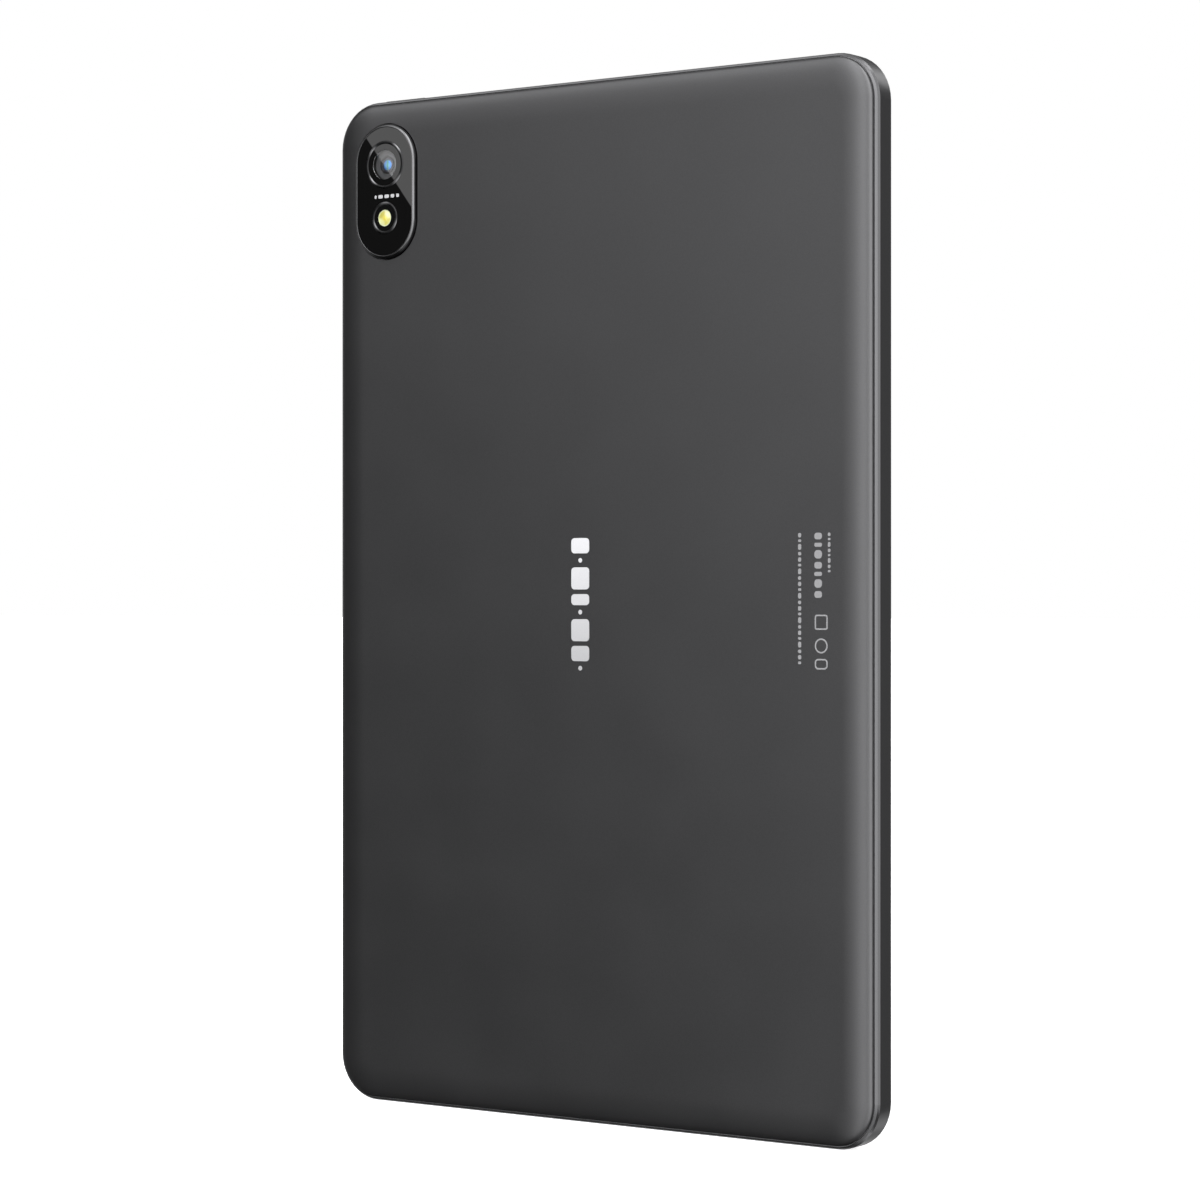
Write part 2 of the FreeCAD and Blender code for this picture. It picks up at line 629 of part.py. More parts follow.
def tray_seal():
    """Rubber ring behind the tray's head."""
    x = (INNER_X - 0.7, INNER_X)
    outer = block(x, (TRAY_Y[0] - 0.3, TRAY_Y[1] + 0.05), (TRAY_BODY_Z[0] - 0.5, TRAY_BODY_Z[1] + 0.5))
    return outer.cut(block(x, TRAY_Y, TRAY_BODY_Z))


def card_reader_shell():
    """Folded steel cage on the board that guides the tray and the eject rod."""
    x = (51.0, 74.5)
    z = (TRAY_BODY_Z[0] - 0.5, ROD_Z + 1.2)
    roof = block(x, (1.35, 1.5), z)
    walls = [block(x, (BOARD_Y[1], 1.35), (edge, edge + 0.15)) for edge in (z[0], z[1] - 0.15)]
    contacts = [
        block((60.0 + 1.6 * i, 60.7 + 1.6 * i), (1.25, 1.35), (LEVER_Z - 4.0, LEVER_Z - 1.0))
        for i in range(6)
    ]
    return fuse(roof, *walls, *contacts)


def eject_rod():
    """Rod that carries the push of the eject tool to the lever."""
    start = LEVER_X + LEVER_HALF[0] + 0.05
    return Part.makeCylinder(ROD_R, INNER_X - 1.2 - start, Vector(start, EJECT_Y, ROD_Z), Vector(1, 0, 0))


def eject_lever():
    """Rocking bar: the rod pushes one end in and the other end pushes the tray out."""
    half_x, half_z = LEVER_HALF
    bar = rounded_plate(
        (LEVER_X - half_x, LEVER_X + half_x), (LEVER_Z - half_z, LEVER_Z + half_z), 0.7, (0.5, 1.15))
    return bar.cut(disc(LEVER_X, LEVER_Z, PIN_R + FIT, (0.4, 1.2)))


def lever_pin():
    """Shouldered pin that the lever turns on."""
    shaft = disc(LEVER_X, LEVER_Z, PIN_R, (BOARD_Y[0], 1.2))
    head = disc(LEVER_X, LEVER_Z, 0.8, (1.2, 1.45))
    return fuse(shaft, head)


# Charging port

def usb_shell():
    """Drawn steel shell of the port, open at its mouth."""
    half_x, half_y = USB_OUTER[0] / 2, USB_OUTER[1] / 2
    outer = stadium_z(0, USB_Y, half_x, half_y, USB_Z)
    inner_z = (USB_Z[0] - 1.0, USB_Z[1] - 1.0)
    return outer.cut(stadium_z(0, USB_Y, half_x - USB_WALL, half_y - USB_WALL, inner_z))


def usb_tongue():
    """Plastic tongue with its thicker root."""
    tongue = block((-3.35, 3.35), (USB_Y - 0.32, USB_Y + 0.32), (1.1, USB_Z[1] - 1.0))
    root = block((-3.5, 3.5), (USB_Y - 1.1, USB_Y + 1.1), (USB_Z[1] - 2.4, USB_Z[1] - 1.0))
    return fuse(tongue, root).cut(usb_contacts())


def usb_contacts():
    """Gold contacts let into both faces of the tongue."""
    strips = []
    for face in (-1, 1):
        y = sorted((USB_Y + face * 0.2, USB_Y + face * 0.32))
        for i in range(12):
            x = (i - 5.5) * 0.5
            strips.append(block((x - 0.12, x + 0.12), y, (1.6, USB_Z[1] - 2.5)))
    return Part.makeCompound(strips)


# Boards

def screw_holes(y):
    """Clearance holes for every screw."""
    return Part.makeCompound([disc(x, z, SCREW_R + FIT, y) for x, z in screw_places()])


def main_board():
    """Board along the top of the battery."""
    board = block(MAIN_X, BOARD_Y, MAIN_Z)
    return board.cut(screw_holes(BOARD_Y))


def sub_board():
    """Board for the charging port and the card reader."""
    lower = block((SUB_X[0], -SUB_X[0]), BOARD_Y, (SUB_Z[0], SUB_STEP_Z + 1.0))
    upper = block(SUB_X, BOARD_Y, (SUB_STEP_Z, SUB_Z[1]))
    gap = USB_OUTER[0] / 2 + 0.05
    notch = block((-gap, gap), BOARD_Y, (SUB_Z[0], USB_Z[1] + 0.1))
    pin_hole = disc(LEVER_X, LEVER_Z, PIN_R, BOARD_Y)
    return fuse(lower, upper).cut(Part.makeCompound([notch, pin_hole, screw_holes(BOARD_Y)]))


def chip(x, z, width, height, thick):
    """One moulded package on the back of a board."""
    y = (BOARD_Y[1], BOARD_Y[1] + thick)
    return block((x - width / 2, x + width / 2), y, (z - height / 2, z + height / 2))


def board_chips():
    """Processor, memories, power and radio chips, and the charging chip of the small board."""
    main = [
        chip(-50, 208, 14, 14, 0.9), chip(-32, 208, 11.5, 13, 0.8), chip(20, 212, 8, 8, 0.8),
        chip(31, 204, 6, 7, 0.7), chip(20, 200, 5, 5, 0.6), chip(-50, 196.5, 5, 4, 0.6),
    ]
    sub = [chip(0, 44, 6, 6, 0.7), chip(10, 20, 4, 4, 0.6), chip(-10, 18, 3, 5, 0.6)]
    return Part.makeCompound(main + sub)


def shield_can(x, z, top):
    """Folded steel lid over a group of chips."""
    wall = CAN_WALL
    outer = block(x, (BOARD_Y[1], top), z)
    inner = block((x[0] + wall, x[1] - wall), (BOARD_Y[1], top - wall), (z[0] + wall, z[1] - wall))
    return outer.cut(inner)


def shield_cans():
    """Lids over the processor, the radio chips and the charging chip."""
    return Part.makeCompound([
        shield_can((-60.0, -22.0), (193.0, 218.0), CAN_TOP_Y),
        shield_can((14.0, 38.0), (195.5, 218.0), CAN_TOP_Y),
        shield_can((-6.0, 6.0), (39.0, 49.0), CAN_TOP_Y),
    ])


def board_link_flex():
    """Long ribbon between the two boards, up the -X side of the battery."""
    y = (BOARD_Y[1], BOARD_Y[1] + FLEX)
    run_x = (-71.5, -65.5)
    low = block((run_x[0], SUB_X[0] + 4.0), y, (40.0, 46.0))
    run = block(run_x, y, (40.0, 202.0))
    plug = block((run_x[0], run_x[1] + 3.0), y, (196.0, 202.0))
    return fuse(low, run, plug)


def screws():
    """Equal pan-head screws through the boards into the mid plate, with a cross recess."""
    shapes = []
    for x, z in screw_places():
        shaft = disc(x, z, SCREW_R, (PLATE_Y[0] + 0.1, BOARD_Y[1]))
        head = disc(x, z, SCREW_HEAD_R, (BOARD_Y[1], BOARD_Y[1] + SCREW_HEAD_H))
        cross = [
            block((x - a, x + a), (BOARD_Y[1] + 0.2, BOARD_Y[1] + SCREW_HEAD_H), (z - b, z + b))
            for a, b in ((0.6, 0.12), (0.12, 0.6))
        ]
        shapes.append(fuse(shaft, head).cut(fuse(*cross)))
    return Part.makeCompound(shapes)


# Battery

def battery_cells():
    """Two pouch cells side by side."""
    middle = sum(BATTERY_X) / 2
    spans = ((BATTERY_X[0], middle - CELL_GAP / 2), (middle + CELL_GAP / 2, BATTERY_X[1]))
    return Part.makeCompound([rounded_plate(x, BATTERY_Z, 2.0, BATTERY_Y) for x in spans])


def battery_protection_board():
    """Strip board across the tops of the cells, with the plug tail to the main board."""
    strip = block((-40.0, 40.0), (-0.1, 1.6), (BATTERY_Z[1] + 0.2, BATTERY_Z[1] + 4.6))
    tail = block((-2.0, 8.0), (BOARD_Y[1] + 0.05, BOARD_Y[1] + 0.05 + FLEX), (BATTERY_Z[1] + 4.6, 199.0))
    plug = block((-1.0, 7.0), (BOARD_Y[1] + FLEX + 0.05, BOARD_Y[1] + 1.1), (195.5, 199.0))
    return fuse(strip, tail, plug)


def battery_adhesive():
    """Stretch-release strips between cells and mid plate."""
    y = (PLATE_Y[1], BATTERY_Y[0])
    z = (BATTERY_Z[0] + 10.0, BATTERY_Z[1] - 10.0)
    return Part.makeCompound([block((x - 8.0, x + 8.0), y, z) for x in (-50.0, -12.0, 14.0, 52.0)])


def graphite_sheet():
    """Heat spreader stuck to the inside of the rear cover."""
    y = (COVER_INNER_Y - 0.1, COVER_INNER_Y)
    return rounded_plate((-62.0, 42.0), (95.0, 222.0), 3.0, y)


# Sound

def speaker_box_spans(side_x, top):
    """X and Z spans of one speaker box."""
    width, _, depth = SPEAKER_SIZE
    middle = side_x * SPEAKER_X
    z = (SPEAKER_EDGE, SPEAKER_EDGE + depth)
    if top:
        z = (HEIGHT - z[1], HEIGHT - z[0])
    return (middle - width / 2, middle + width / 2), z


def speaker_box(side_x, top):
    """Plastic box with a sound duct to the holes in the frame and a window for the diaphragm."""
    x, z = speaker_box_spans(side_x, top)
    y = (BATTERY_Y[0], BATTERY_Y[0] + SPEAKER_SIZE[1])
    shell = block(x, y, z)
    wall = SPEAKER_WALL
    hollow = block((x[0] + wall, x[1] - wall), (y[0] + wall, y[1] - wall), (z[0] + wall, z[1] - wall))
    middle = sum(x) / 2
    duct_x = (middle - 9.0, middle + 9.0)
    duct_z = (WALL + MESH_T, SPEAKER_EDGE + wall + 0.1)
    if top:
        duct_z = (HEIGHT - duct_z[1], HEIGHT - duct_z[0])
    duct = block(duct_x, (SOUND_Y - 1.0, SOUND_Y + 1.6), duct_z)
    bore = block((duct_x[0] + 0.4, duct_x[1] - 0.4), (SOUND_Y - 0.65, SOUND_Y + 1.2), duct_z)
    window = cone_plate(side_x, top, 0.3, (y[1] - wall, y[1]))
    return fuse(shell, duct).cut(Part.makeCompound([hollow, bore, window]))


def cone_plate(side_x, top, growth, y):
    """Rounded plate of the diaphragm's outline, larger all round by the growth."""
    x, z = speaker_box_spans(side_x, top)
    middle_x, middle_z = sum(x) / 2, sum(z) / 2
    half_x, half_z = CONE_SIZE[0] / 2 + growth, CONE_SIZE[1] / 2 + growth
    return rounded_plate(
        (middle_x - half_x, middle_x + half_x), (middle_z - half_z, middle_z + half_z), 3.0, y)


def speaker_diaphragm(side_x, top):
    """Flat diaphragm with its coil, free in the window of the box."""
    x, z = speaker_box_spans(side_x, top)
    plate = cone_plate(side_x, top, 0, CONE_Y)
    coil = tube(sum(x) / 2, sum(z) / 2, 2.4, 2.7, (CONE_Y[0] - 0.7, CONE_Y[0]))
    return fuse(plate, coil)


def speaker_meshes():
    """Dust meshes stuck behind the four rows of sound holes."""
    spans = ((WALL, WALL + MESH_T), (HEIGHT - WALL - MESH_T, HEIGHT - WALL))
    return Part.makeCompound([
        block((x - MESH_HALF[0], x + MESH_HALF[0]), (SOUND_Y - MESH_HALF[1], SOUND_Y + MESH_HALF[1]), z)
        for x in (-SPEAKER_X, SPEAKER_X) for z in spans
    ])


def microphones():
    """Two microphone capsules, each behind its own pinhole."""
    size = 2.8
    spans = ((MIC_TOP_X, INNER_TOP - size, INNER_TOP), (MIC_BOTTOM_X, WALL, WALL + 1.4))
    return Part.makeCompound([
        block((x - size / 2, x + size / 2), (SOUND_Y - 0.9, SOUND_Y + 0.9), (low, high))
        for x, low, high in spans
    ])


def wifi_antennas():
    """Plastic carriers with the radio antennas, at the upper -X corner."""
    return Part.makeCompound([
        block((-66.0, -52.0), (-0.3, 2.2), (230.0, 243.0)),
        block((-75.0, -73.2), (-0.3, 1.4), (205.0, 223.0)),
    ])


def speakers():
    """Four boxes and four diaphragms, by node name."""
    shapes = {}
    for side_x, side in ((1, "right"), (-1, "left")):
        for top, end in ((True, "top"), (False, "bottom")):
            shapes[f"speaker_box_{end}_{side}"] = speaker_box(side_x, top)
            shapes[f"speaker_diaphragm_{end}_{side}"] = speaker_diaphragm(side_x, top)
    return shapes


NODES = {
    "rear_cover": rear_cover(),
    "side_frame": side_frame(),
    "mid_plate": mid_plate(),
    "cover_glass": cover_glass(),
    "display_adhesive": display_adhesive(),
    "display_panel": display_panel(),
    "backlight_unit": backlight_unit(),
    "display_flex": display_flex(),
    "front_camera": front_camera(),
    "camera_bezel": camera_bezel(),
    "camera_window": camera_window(),
    "lens_trim_ring": trim_ring(LENS_Z, LENS_RING_R),
    "flash_trim_ring": trim_ring(FLASH_Z, FLASH_RING_R),
    "flash_diffuser": flash_diffuser(),
    "flash_led": flash_led(),
    "rear_camera_housing": rear_camera_housing(),
    "rear_camera_sensor": rear_camera_sensor(),
    "rear_camera_flex": rear_camera_flex(),
    "lens_barrel": lens_barrel(),
    "rear_camera_lens": rear_camera_lens(),
    "camera_gasket": camera_gasket(),
    "power_key": power_key(),
    "power_key_dome": power_key_dome(),
    "power_key_flex": power_key_flex(),
    "power_key_bracket": power_key_bracket(),
    "volume_rocker": volume_rocker(),
    "volume_domes": volume_domes(),
    "volume_key_flex": volume_key_flex(),
    "volume_key_bracket": volume_key_bracket(),
    "rocker_pin": rocker_pin(),
    "card_tray": card_tray(),
    "tray_seal": tray_seal(),
    "card_reader_shell": card_reader_shell(),
    "eject_rod": eject_rod(),
    "eject_lever": eject_lever(),
    "lever_pin": lever_pin(),
    "usb_shell": usb_shell(),
    "usb_tongue": usb_tongue(),
    "usb_contacts": usb_contacts(),
    "main_board": main_board(),
    "sub_board": sub_board(),
    "board_chips": board_chips(),
    "shield_cans": shield_cans(),
    "board_link_flex": board_link_flex(),
    "screws": screws(),
    "battery_cells": battery_cells(),
    "battery_protection_board": battery_protection_board(),
    "battery_adhesive": battery_adhesive(),
    "graphite_sheet": graphite_sheet(),
    "speaker_meshes": speaker_meshes(),
    "microphones": microphones(),
    "wifi_antennas": wifi_antennas(),
    **speakers(),
}

os.makedirs("parts", exist_ok=True)
for name, shape in NODES.items():
    shape.exportStep(f"parts/{name}.step")
    print(name, "valid" if shape.isValid() else "INVALID", round(shape.Volume, 2), len(shape.Solids))
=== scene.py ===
"""Looks of the tablet computer: smooth shells, camera island, printed marks, materials and studio.

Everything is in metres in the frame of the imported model: +Z up, screen towards -Y, back towards +Y.
"""

import itertools
import math

import bmesh
import bpy
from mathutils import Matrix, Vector


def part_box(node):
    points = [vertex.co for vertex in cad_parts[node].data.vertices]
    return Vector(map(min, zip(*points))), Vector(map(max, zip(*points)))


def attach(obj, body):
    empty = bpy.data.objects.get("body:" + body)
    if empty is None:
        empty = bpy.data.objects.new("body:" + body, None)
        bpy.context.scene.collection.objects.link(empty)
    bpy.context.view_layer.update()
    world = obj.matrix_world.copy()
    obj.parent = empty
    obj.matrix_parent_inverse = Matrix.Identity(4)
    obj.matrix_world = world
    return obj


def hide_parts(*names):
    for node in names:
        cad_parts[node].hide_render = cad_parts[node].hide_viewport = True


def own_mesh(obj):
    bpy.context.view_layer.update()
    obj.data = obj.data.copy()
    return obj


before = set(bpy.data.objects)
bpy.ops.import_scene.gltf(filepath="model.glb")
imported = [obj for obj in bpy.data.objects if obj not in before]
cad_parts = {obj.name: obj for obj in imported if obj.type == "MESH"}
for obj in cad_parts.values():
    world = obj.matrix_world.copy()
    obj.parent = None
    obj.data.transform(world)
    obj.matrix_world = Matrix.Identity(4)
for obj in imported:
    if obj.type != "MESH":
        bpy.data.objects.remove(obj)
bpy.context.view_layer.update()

MM = 0.001
BODY = "tablet_body"
BARREL = "lens_barrel"


def span(node):
    """Low corner, high corner and middle of a node."""
    low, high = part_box(node)
    return low, high, (low + high) / 2


# Sizes read from the frame
FRAME_LOW, FRAME_HIGH, FRAME_MID = span("side_frame")
_, COVER_HIGH, _ = span("rear_cover")
BEZEL_LOW, BEZEL_HIGH, _ = span("camera_bezel")
WINDOW_LOW, WINDOW_HIGH, ISLAND = span("camera_window")
_, _, LENS = span("lens_trim_ring")
_, _, FLASH = span("flash_trim_ring")
DIFFUSER_LOW, DIFFUSER_HIGH, _ = span("flash_diffuser")
BARREL_LOW, BARREL_HIGH, _ = span(BARREL)
LENS_LOW, LENS_HIGH, _ = span("rear_camera_lens")
_, _, FRONT_CAM = span("front_camera")
PANEL_LOW, PANEL_HIGH, _ = span("display_panel")

HALF_X = (FRAME_HIGH.x - FRAME_LOW.x) / 2
HALF_Z = (FRAME_HIGH.z - FRAME_LOW.z) / 2
MID_Z = FRAME_MID.z
BACK_Y = COVER_HIGH.y
RIM_TOP = BEZEL_HIGH.y
GLASS_TOP = WINDOW_HIGH.y
GLASS_UNDER = WINDOW_LOW.y
WINDOW_HALF = (WINDOW_HIGH.x - ISLAND.x, WINDOW_HIGH.z - ISLAND.z)

# Casing, in millimetres: insets are from the outline of the side frame
CORNER_R = 11.0
BAND_TOP_Y = 1.4
COVER_INSET = 0.95
COVER_EDGE_Y = 2.75
COVER_CURVE = 7.55
COVER_WALL = 0.6
LEDGE_Y = 2.0
SKIRT_INSET = (1.56, 2.35)
SKIRT_Y = 1.5
CEILING_INSET = (5.5, 8.5)
CEILING_EDGE_Y = 2.5

# Camera island, in millimetres: outsets are from the outline of the window
BEZEL_WIDTH = 0.86
BEZEL_LAND = 0.24
BEZEL_SLOPE_END = 0.68
BEZEL_SLOPE = 31.0  # degrees
BEZEL_SOFT = 0.05
FLANGE_REACH = 1.04
FLANGE_T = 0.7
WINDOW_SEAT = 0.7
WINDOW_SOFT = 0.08
GROOVE_WIDTH = 0.2
LENS_RING_R = (5.1, 5.85)
FLASH_RING_R = (3.17, 4.02)
RING_GROOVE_DEPTH = 0.45
RING_CROWN = 0.16
CLEAR_R = 3.65
CLEAR_T = 0.3
FLASH_R = 2.03
BARREL_R = 3.5
MOUTH_R = (2.2, 1.8)
MOUTH_DEPTH = 0.8
LENS_R = 1.78
PUPIL_R = 1.35
PUPIL_RISE = 0.16
FIT = 0.01


# ---------------------------------------------------------------- mesh helpers

def loop(centre_x, centre_z, half_x, half_z, radius, y, steps=16):
    """Points of a rounded rectangle in the XZ plane, at one y."""
    points = []
    for side_x, side_z, start in ((1, 1, 0.0), (-1, 1, 90.0), (-1, -1, 180.0), (1, -1, 270.0)):
        hub_x = centre_x + side_x * (half_x - radius)
        hub_z = centre_z + side_z * (half_z - radius)
        for i in range(steps + 1):
            angle = math.radians(start + 90.0 * i / steps)
            points.append(Vector((hub_x + radius * math.cos(angle), y, hub_z + radius * math.sin(angle))))
    return points


def finish_mesh(name, bm, sharp_angle=30.0):
    """New object from a bmesh, smooth except at edges sharper than the angle."""
    bmesh.ops.remove_doubles(bm, verts=bm.verts, dist=1e-7)
    bmesh.ops.recalc_face_normals(bm, faces=bm.faces)
    mesh = bpy.data.meshes.new(name)
    bm.to_mesh(mesh)
    bm.free()
    obj = bpy.data.objects.new(name, mesh)
    bpy.context.scene.collection.objects.link(obj)
    return soften(obj, sharp_angle)


def soften(obj, sharp_angle=30.0):
    """Smooth shading with crisp edges, and normals weighted by face area."""
    for face in obj.data.polygons:
        face.use_smooth = True
    obj.data.set_sharp_from_angle(angle=math.radians(sharp_angle))
    if "weighted" not in obj.modifiers:
        obj.modifiers.new("weighted", "WEIGHTED_NORMAL").keep_sharp = True
    return obj


def crisp_rims(obj, turn=12.0):
    """Sharp edges where facets meet along rims of constant y; corners stay smooth round the outline."""
    mesh = obj.data
    beside = {}
    for face in mesh.polygons:
        for key in face.edge_keys:
            beside.setdefault(key, []).append(face.normal)
    for edge in mesh.edges:
        ends = [mesh.vertices[i].co.y for i in edge.vertices]
        normals = beside.get(edge.key, [])
        if len(normals) == 2 and abs(ends[0] - ends[1]) < 1e-6:
            if normals[0].angle(normals[1], 0.0) > math.radians(turn):
                edge.use_edge_sharp = True


def skin(bm, rings, closed=False):
    """Faces over rings of equal length: closed like a hoop, or capped at both ends."""
    rows = [[bm.verts.new(p) for p in ring] for ring in rings]
    pairs = list(zip(rows, rows[1:]))
    if closed:
        pairs.append((rows[-1], rows[0]))
    else:
        bm.faces.new(rows[0])
        bm.faces.new(rows[-1])
    for low, high in pairs:
        for i in range(len(low)):
            j = (i + 1) % len(low)
            bm.faces.new((low[i], low[j], high[j], high[i]))


def loft(name, rings, closed=False, sharp_angle=30.0):
    bm = bmesh.new()
    skin(bm, rings, closed)
    return finish_mesh(name, bm, sharp_angle)


def body_rings(sections, steps=24):
    """Rings round the whole tablet, from (inset, y) pairs in millimetres."""
    rings = []
    for inset, y in sections:
        half_x, half_z = HALF_X - inset * MM, HALF_Z - inset * MM
        rings.append(loop(0, MID_Z, half_x, half_z, (CORNER_R - inset) * MM, y * MM, steps))
    return rings


def island_rings(sections, steps=28):
    """Rings round the camera island, from (outset from the window in millimetres, y in metres) pairs."""
    rings = []
    for outset, y in sections:
        half_x = WINDOW_HALF[0] + outset * MM
        rings.append(loop(ISLAND.x, ISLAND.z, half_x, WINDOW_HALF[1] + outset * MM, half_x, y, steps))
    return rings


def round_rings(centre, sections, steps=16):
    """Rings about the Y axis through a centre, from (radius in millimetres, y in metres) pairs."""
    return [loop(centre.x, centre.z, r * MM, r * MM, r * MM, y, steps) for r, y in sections]


def arc(start, end, hub, steps=6):
    """Points of a quarter of an ellipse between two (inset, y) points, about its centre."""
    points = []
    for i in range(steps + 1):
        t = math.radians(90.0 * i / steps)
        u = hub[0] + (start[0] - hub[0]) * math.cos(t) + (end[0] - hub[0]) * math.sin(t)
        y = hub[1] + (start[1] - hub[1]) * math.cos(t) + (end[1] - hub[1]) * math.sin(t)
        points.append((u, y))
    return points


def carve(obj, *cutters):
    """Cuts the cutters' shapes out of the object and removes the cutters."""
    for cutter in cutters:
        cut = obj.modifiers.new("cut", "BOOLEAN")
        cut.object = cutter
        cut.operation = "DIFFERENCE"
        cut.solver = "EXACT"
        obj.modifiers.move(len(obj.modifiers) - 1, 0)
        bpy.context.view_layer.objects.active = obj
        bpy.ops.object.modifier_apply(modifier="cut")
        bpy.data.objects.remove(cutter)
    return soften(obj)


# ---------------------------------------------------------------- material helpers

class Nodes:
    """What the node trees of the materials and of the world share."""

    def __init__(self, tree):
        self.tree = tree

    def feed(self, socket, value):
        """Links an output, or sets a plain value."""
        if isinstance(value, bpy.types.NodeSocket):
            self.tree.links.new(value, socket)
        else:
            socket.default_value = value

    def math(self, operation, a, b=0.0):
        made = self.tree.nodes.new("ShaderNodeMath")
        made.operation = operation
        self.feed(made.inputs[0], a)
        self.feed(made.inputs[1], b)
        return made.outputs[0]

    def range(self, value, low, high, to_low=0.0, to_high=1.0, curve="LINEAR"):
        """Maps low and high to to_low and to_high, and holds the value outside them."""
        made = self.tree.nodes.new("ShaderNodeMapRange")
        made.interpolation_type = curve
        for key, number in (("Value", value), ("From Min", low), ("From Max", high),
                            ("To Min", to_low), ("To Max", to_high)):
            self.feed(made.inputs[key], number)
        return made.outputs["Result"]

    def split(self, vector):
        made = self.tree.nodes.new("ShaderNodeSeparateXYZ")
        self.feed(made.inputs[0], vector)
        return made.outputs


class Shader(Nodes):
    """Material with one principled shader, painted by place on the object."""

    def __init__(self, name):
        self.material = bpy.data.materials.new(name)
        self.material.use_nodes = True
        super().__init__(self.material.node_tree)
        self.main = self.tree.nodes["Principled BSDF"]
        self.place = self.tree.nodes.new("ShaderNodeTexCoord").outputs["Object"]

    def set(self, **inputs):
        """Sets shader inputs, with underscores for the spaces in their names."""
        for key, value in inputs.items():
            self.feed(self.main.inputs[key.replace("_", " ")], value)
        return self

    def noise(self, scale, detail=3.0, stretch=None):
        """Noise of the given frequency per metre, stretched along the axes if wanted."""
        made = self.tree.nodes.new("ShaderNodeTexNoise")
        self.feed(made.inputs["Vector"], self.stretched(stretch) if stretch else self.place)
        made.inputs["Scale"].default_value = scale
        made.inputs["Detail"].default_value = detail
        return made.outputs[0]

    def cells(self, scale):
        """Distance to the nearest of scattered points."""
        made = self.tree.nodes.new("ShaderNodeTexVoronoi")
        self.feed(made.inputs["Vector"], self.place)
        made.inputs["Scale"].default_value = scale
        return made.outputs["Distance"]

    def waves(self, axis, period):
        """Sine along one axis, from 0 to 1, with a period in metres."""
        turn = self.math("MULTIPLY", self.axis(axis), 2 * math.pi / period)
        return self.range(self.math("SINE", turn), -1.0, 1.0, 0.0, 1.0)

    def stretched(self, factors):
        made = self.tree.nodes.new("ShaderNodeMapping")
        self.feed(made.inputs["Vector"], self.place)
        made.inputs["Scale"].default_value = factors
        return made.outputs[0]

    def mix(self, factor, a, b):
        """Colour from a at factor 0 to b at factor 1."""
        made = self.tree.nodes.new("ShaderNodeMix")
        made.data_type = "RGBA"
        self.feed(made.inputs[0], factor)
        self.feed(made.inputs[6], a)
        self.feed(made.inputs[7], b)
        return made.outputs[2]

    def bump(self, height, distance, strength=1.0):
        made = self.tree.nodes.new("ShaderNodeBump")
        self.feed(made.inputs["Height"], height)
        made.inputs["Distance"].default_value = distance
        made.inputs["Strength"].default_value = strength
        self.tree.links.new(made.outputs["Normal"], self.main.inputs["Normal"])
        return self

    def axis(self, letter):
        return self.split(self.place)[letter]

    def offsets(self, centre):
        """Signed x and z distances from the centre."""
        x = self.math("SUBTRACT", self.axis("X"), centre.x)
        z = self.math("SUBTRACT", self.axis("Z"), centre.z)
        return x, z

    def from_line(self, centre):
        """Distance from the line along Y through the centre."""
        x, z = self.offsets(centre)
        squares = self.math("ADD", self.math("MULTIPLY", x, x), self.math("MULTIPLY", z, z))
        return self.math("SQRT", squares)

    def around(self, centre):
        """Angle round the line along Y through the centre, from +X towards +Z."""
        x, z = self.offsets(centre)
        return self.math("ARCTAN2", z, x)


def grey(value):
    return (value, value, value * 1.03, 1.0)


def colour(r, g, b):
    return (r, g, b, 1.0)


def scaled(tone, factor):
    return tuple(c * factor for c in tone[:3]) + (1.0,)


def satin(name, tone, roughness, metallic=0.0, grain=6000.0, spread=0.10, bump=0.0015 * MM):
    """Fine-grained finish: tone and roughness wander a little over a blasted micro texture."""
    s = Shader(name)
    fine = s.noise(grain, 2.0)
    broad = s.noise(45.0, 3.0)
    tones = s.mix(s.range(fine, 0.3, 0.7), scaled(tone, 1 - spread), scaled(tone, 1 + spread))
    s.set(Base_Color=tones, Metallic=metallic)
    s.set(Roughness=s.range(broad, 0.3, 0.7, roughness * 0.95, roughness * 1.05))
    return s.bump(fine, bump)


# ---------------------------------------------------------------- materials

def cover_metal():
    """Dark grey bead-blasted anodising."""
    return satin("cover_metal", grey(0.078), 0.29, metallic=0.87, grain=5000.0, spread=0.06)


def frame_metal():
    """Dark side band whose cut chamfer is bright and smoother."""
    s = Shader("frame_metal")
    fine = s.noise(6000.0, 2.0)
    edge = 0.01
    on_cut = s.range(s.axis("Y"), (BAND_TOP_Y - edge) * MM, (BAND_TOP_Y + edge) * MM)
    band = s.mix(fine, grey(0.085), grey(0.105))
    cut = s.mix(fine, grey(0.26), grey(0.30))
    s.set(Base_Color=s.mix(on_cut, band, cut), Metallic=0.95)
    s.set(Roughness=s.range(on_cut, 0.0, 1.0, 0.34, 0.26))
    return s.bump(fine, 0.001 * MM)


def polished(name, tone=0.55, roughness=0.18):
    """Turned metal with very fine circular marks."""
    s = Shader(name)
    fine = s.noise(9000.0, 2.0)
    s.set(Base_Color=s.mix(fine, grey(tone * 0.92), grey(tone * 1.06)), Metallic=1.0)
    s.set(Roughness=s.range(s.noise(900.0), 0.3, 0.7, roughness * 0.8, roughness * 1.2))
    return s.bump(fine, 0.0004 * MM)


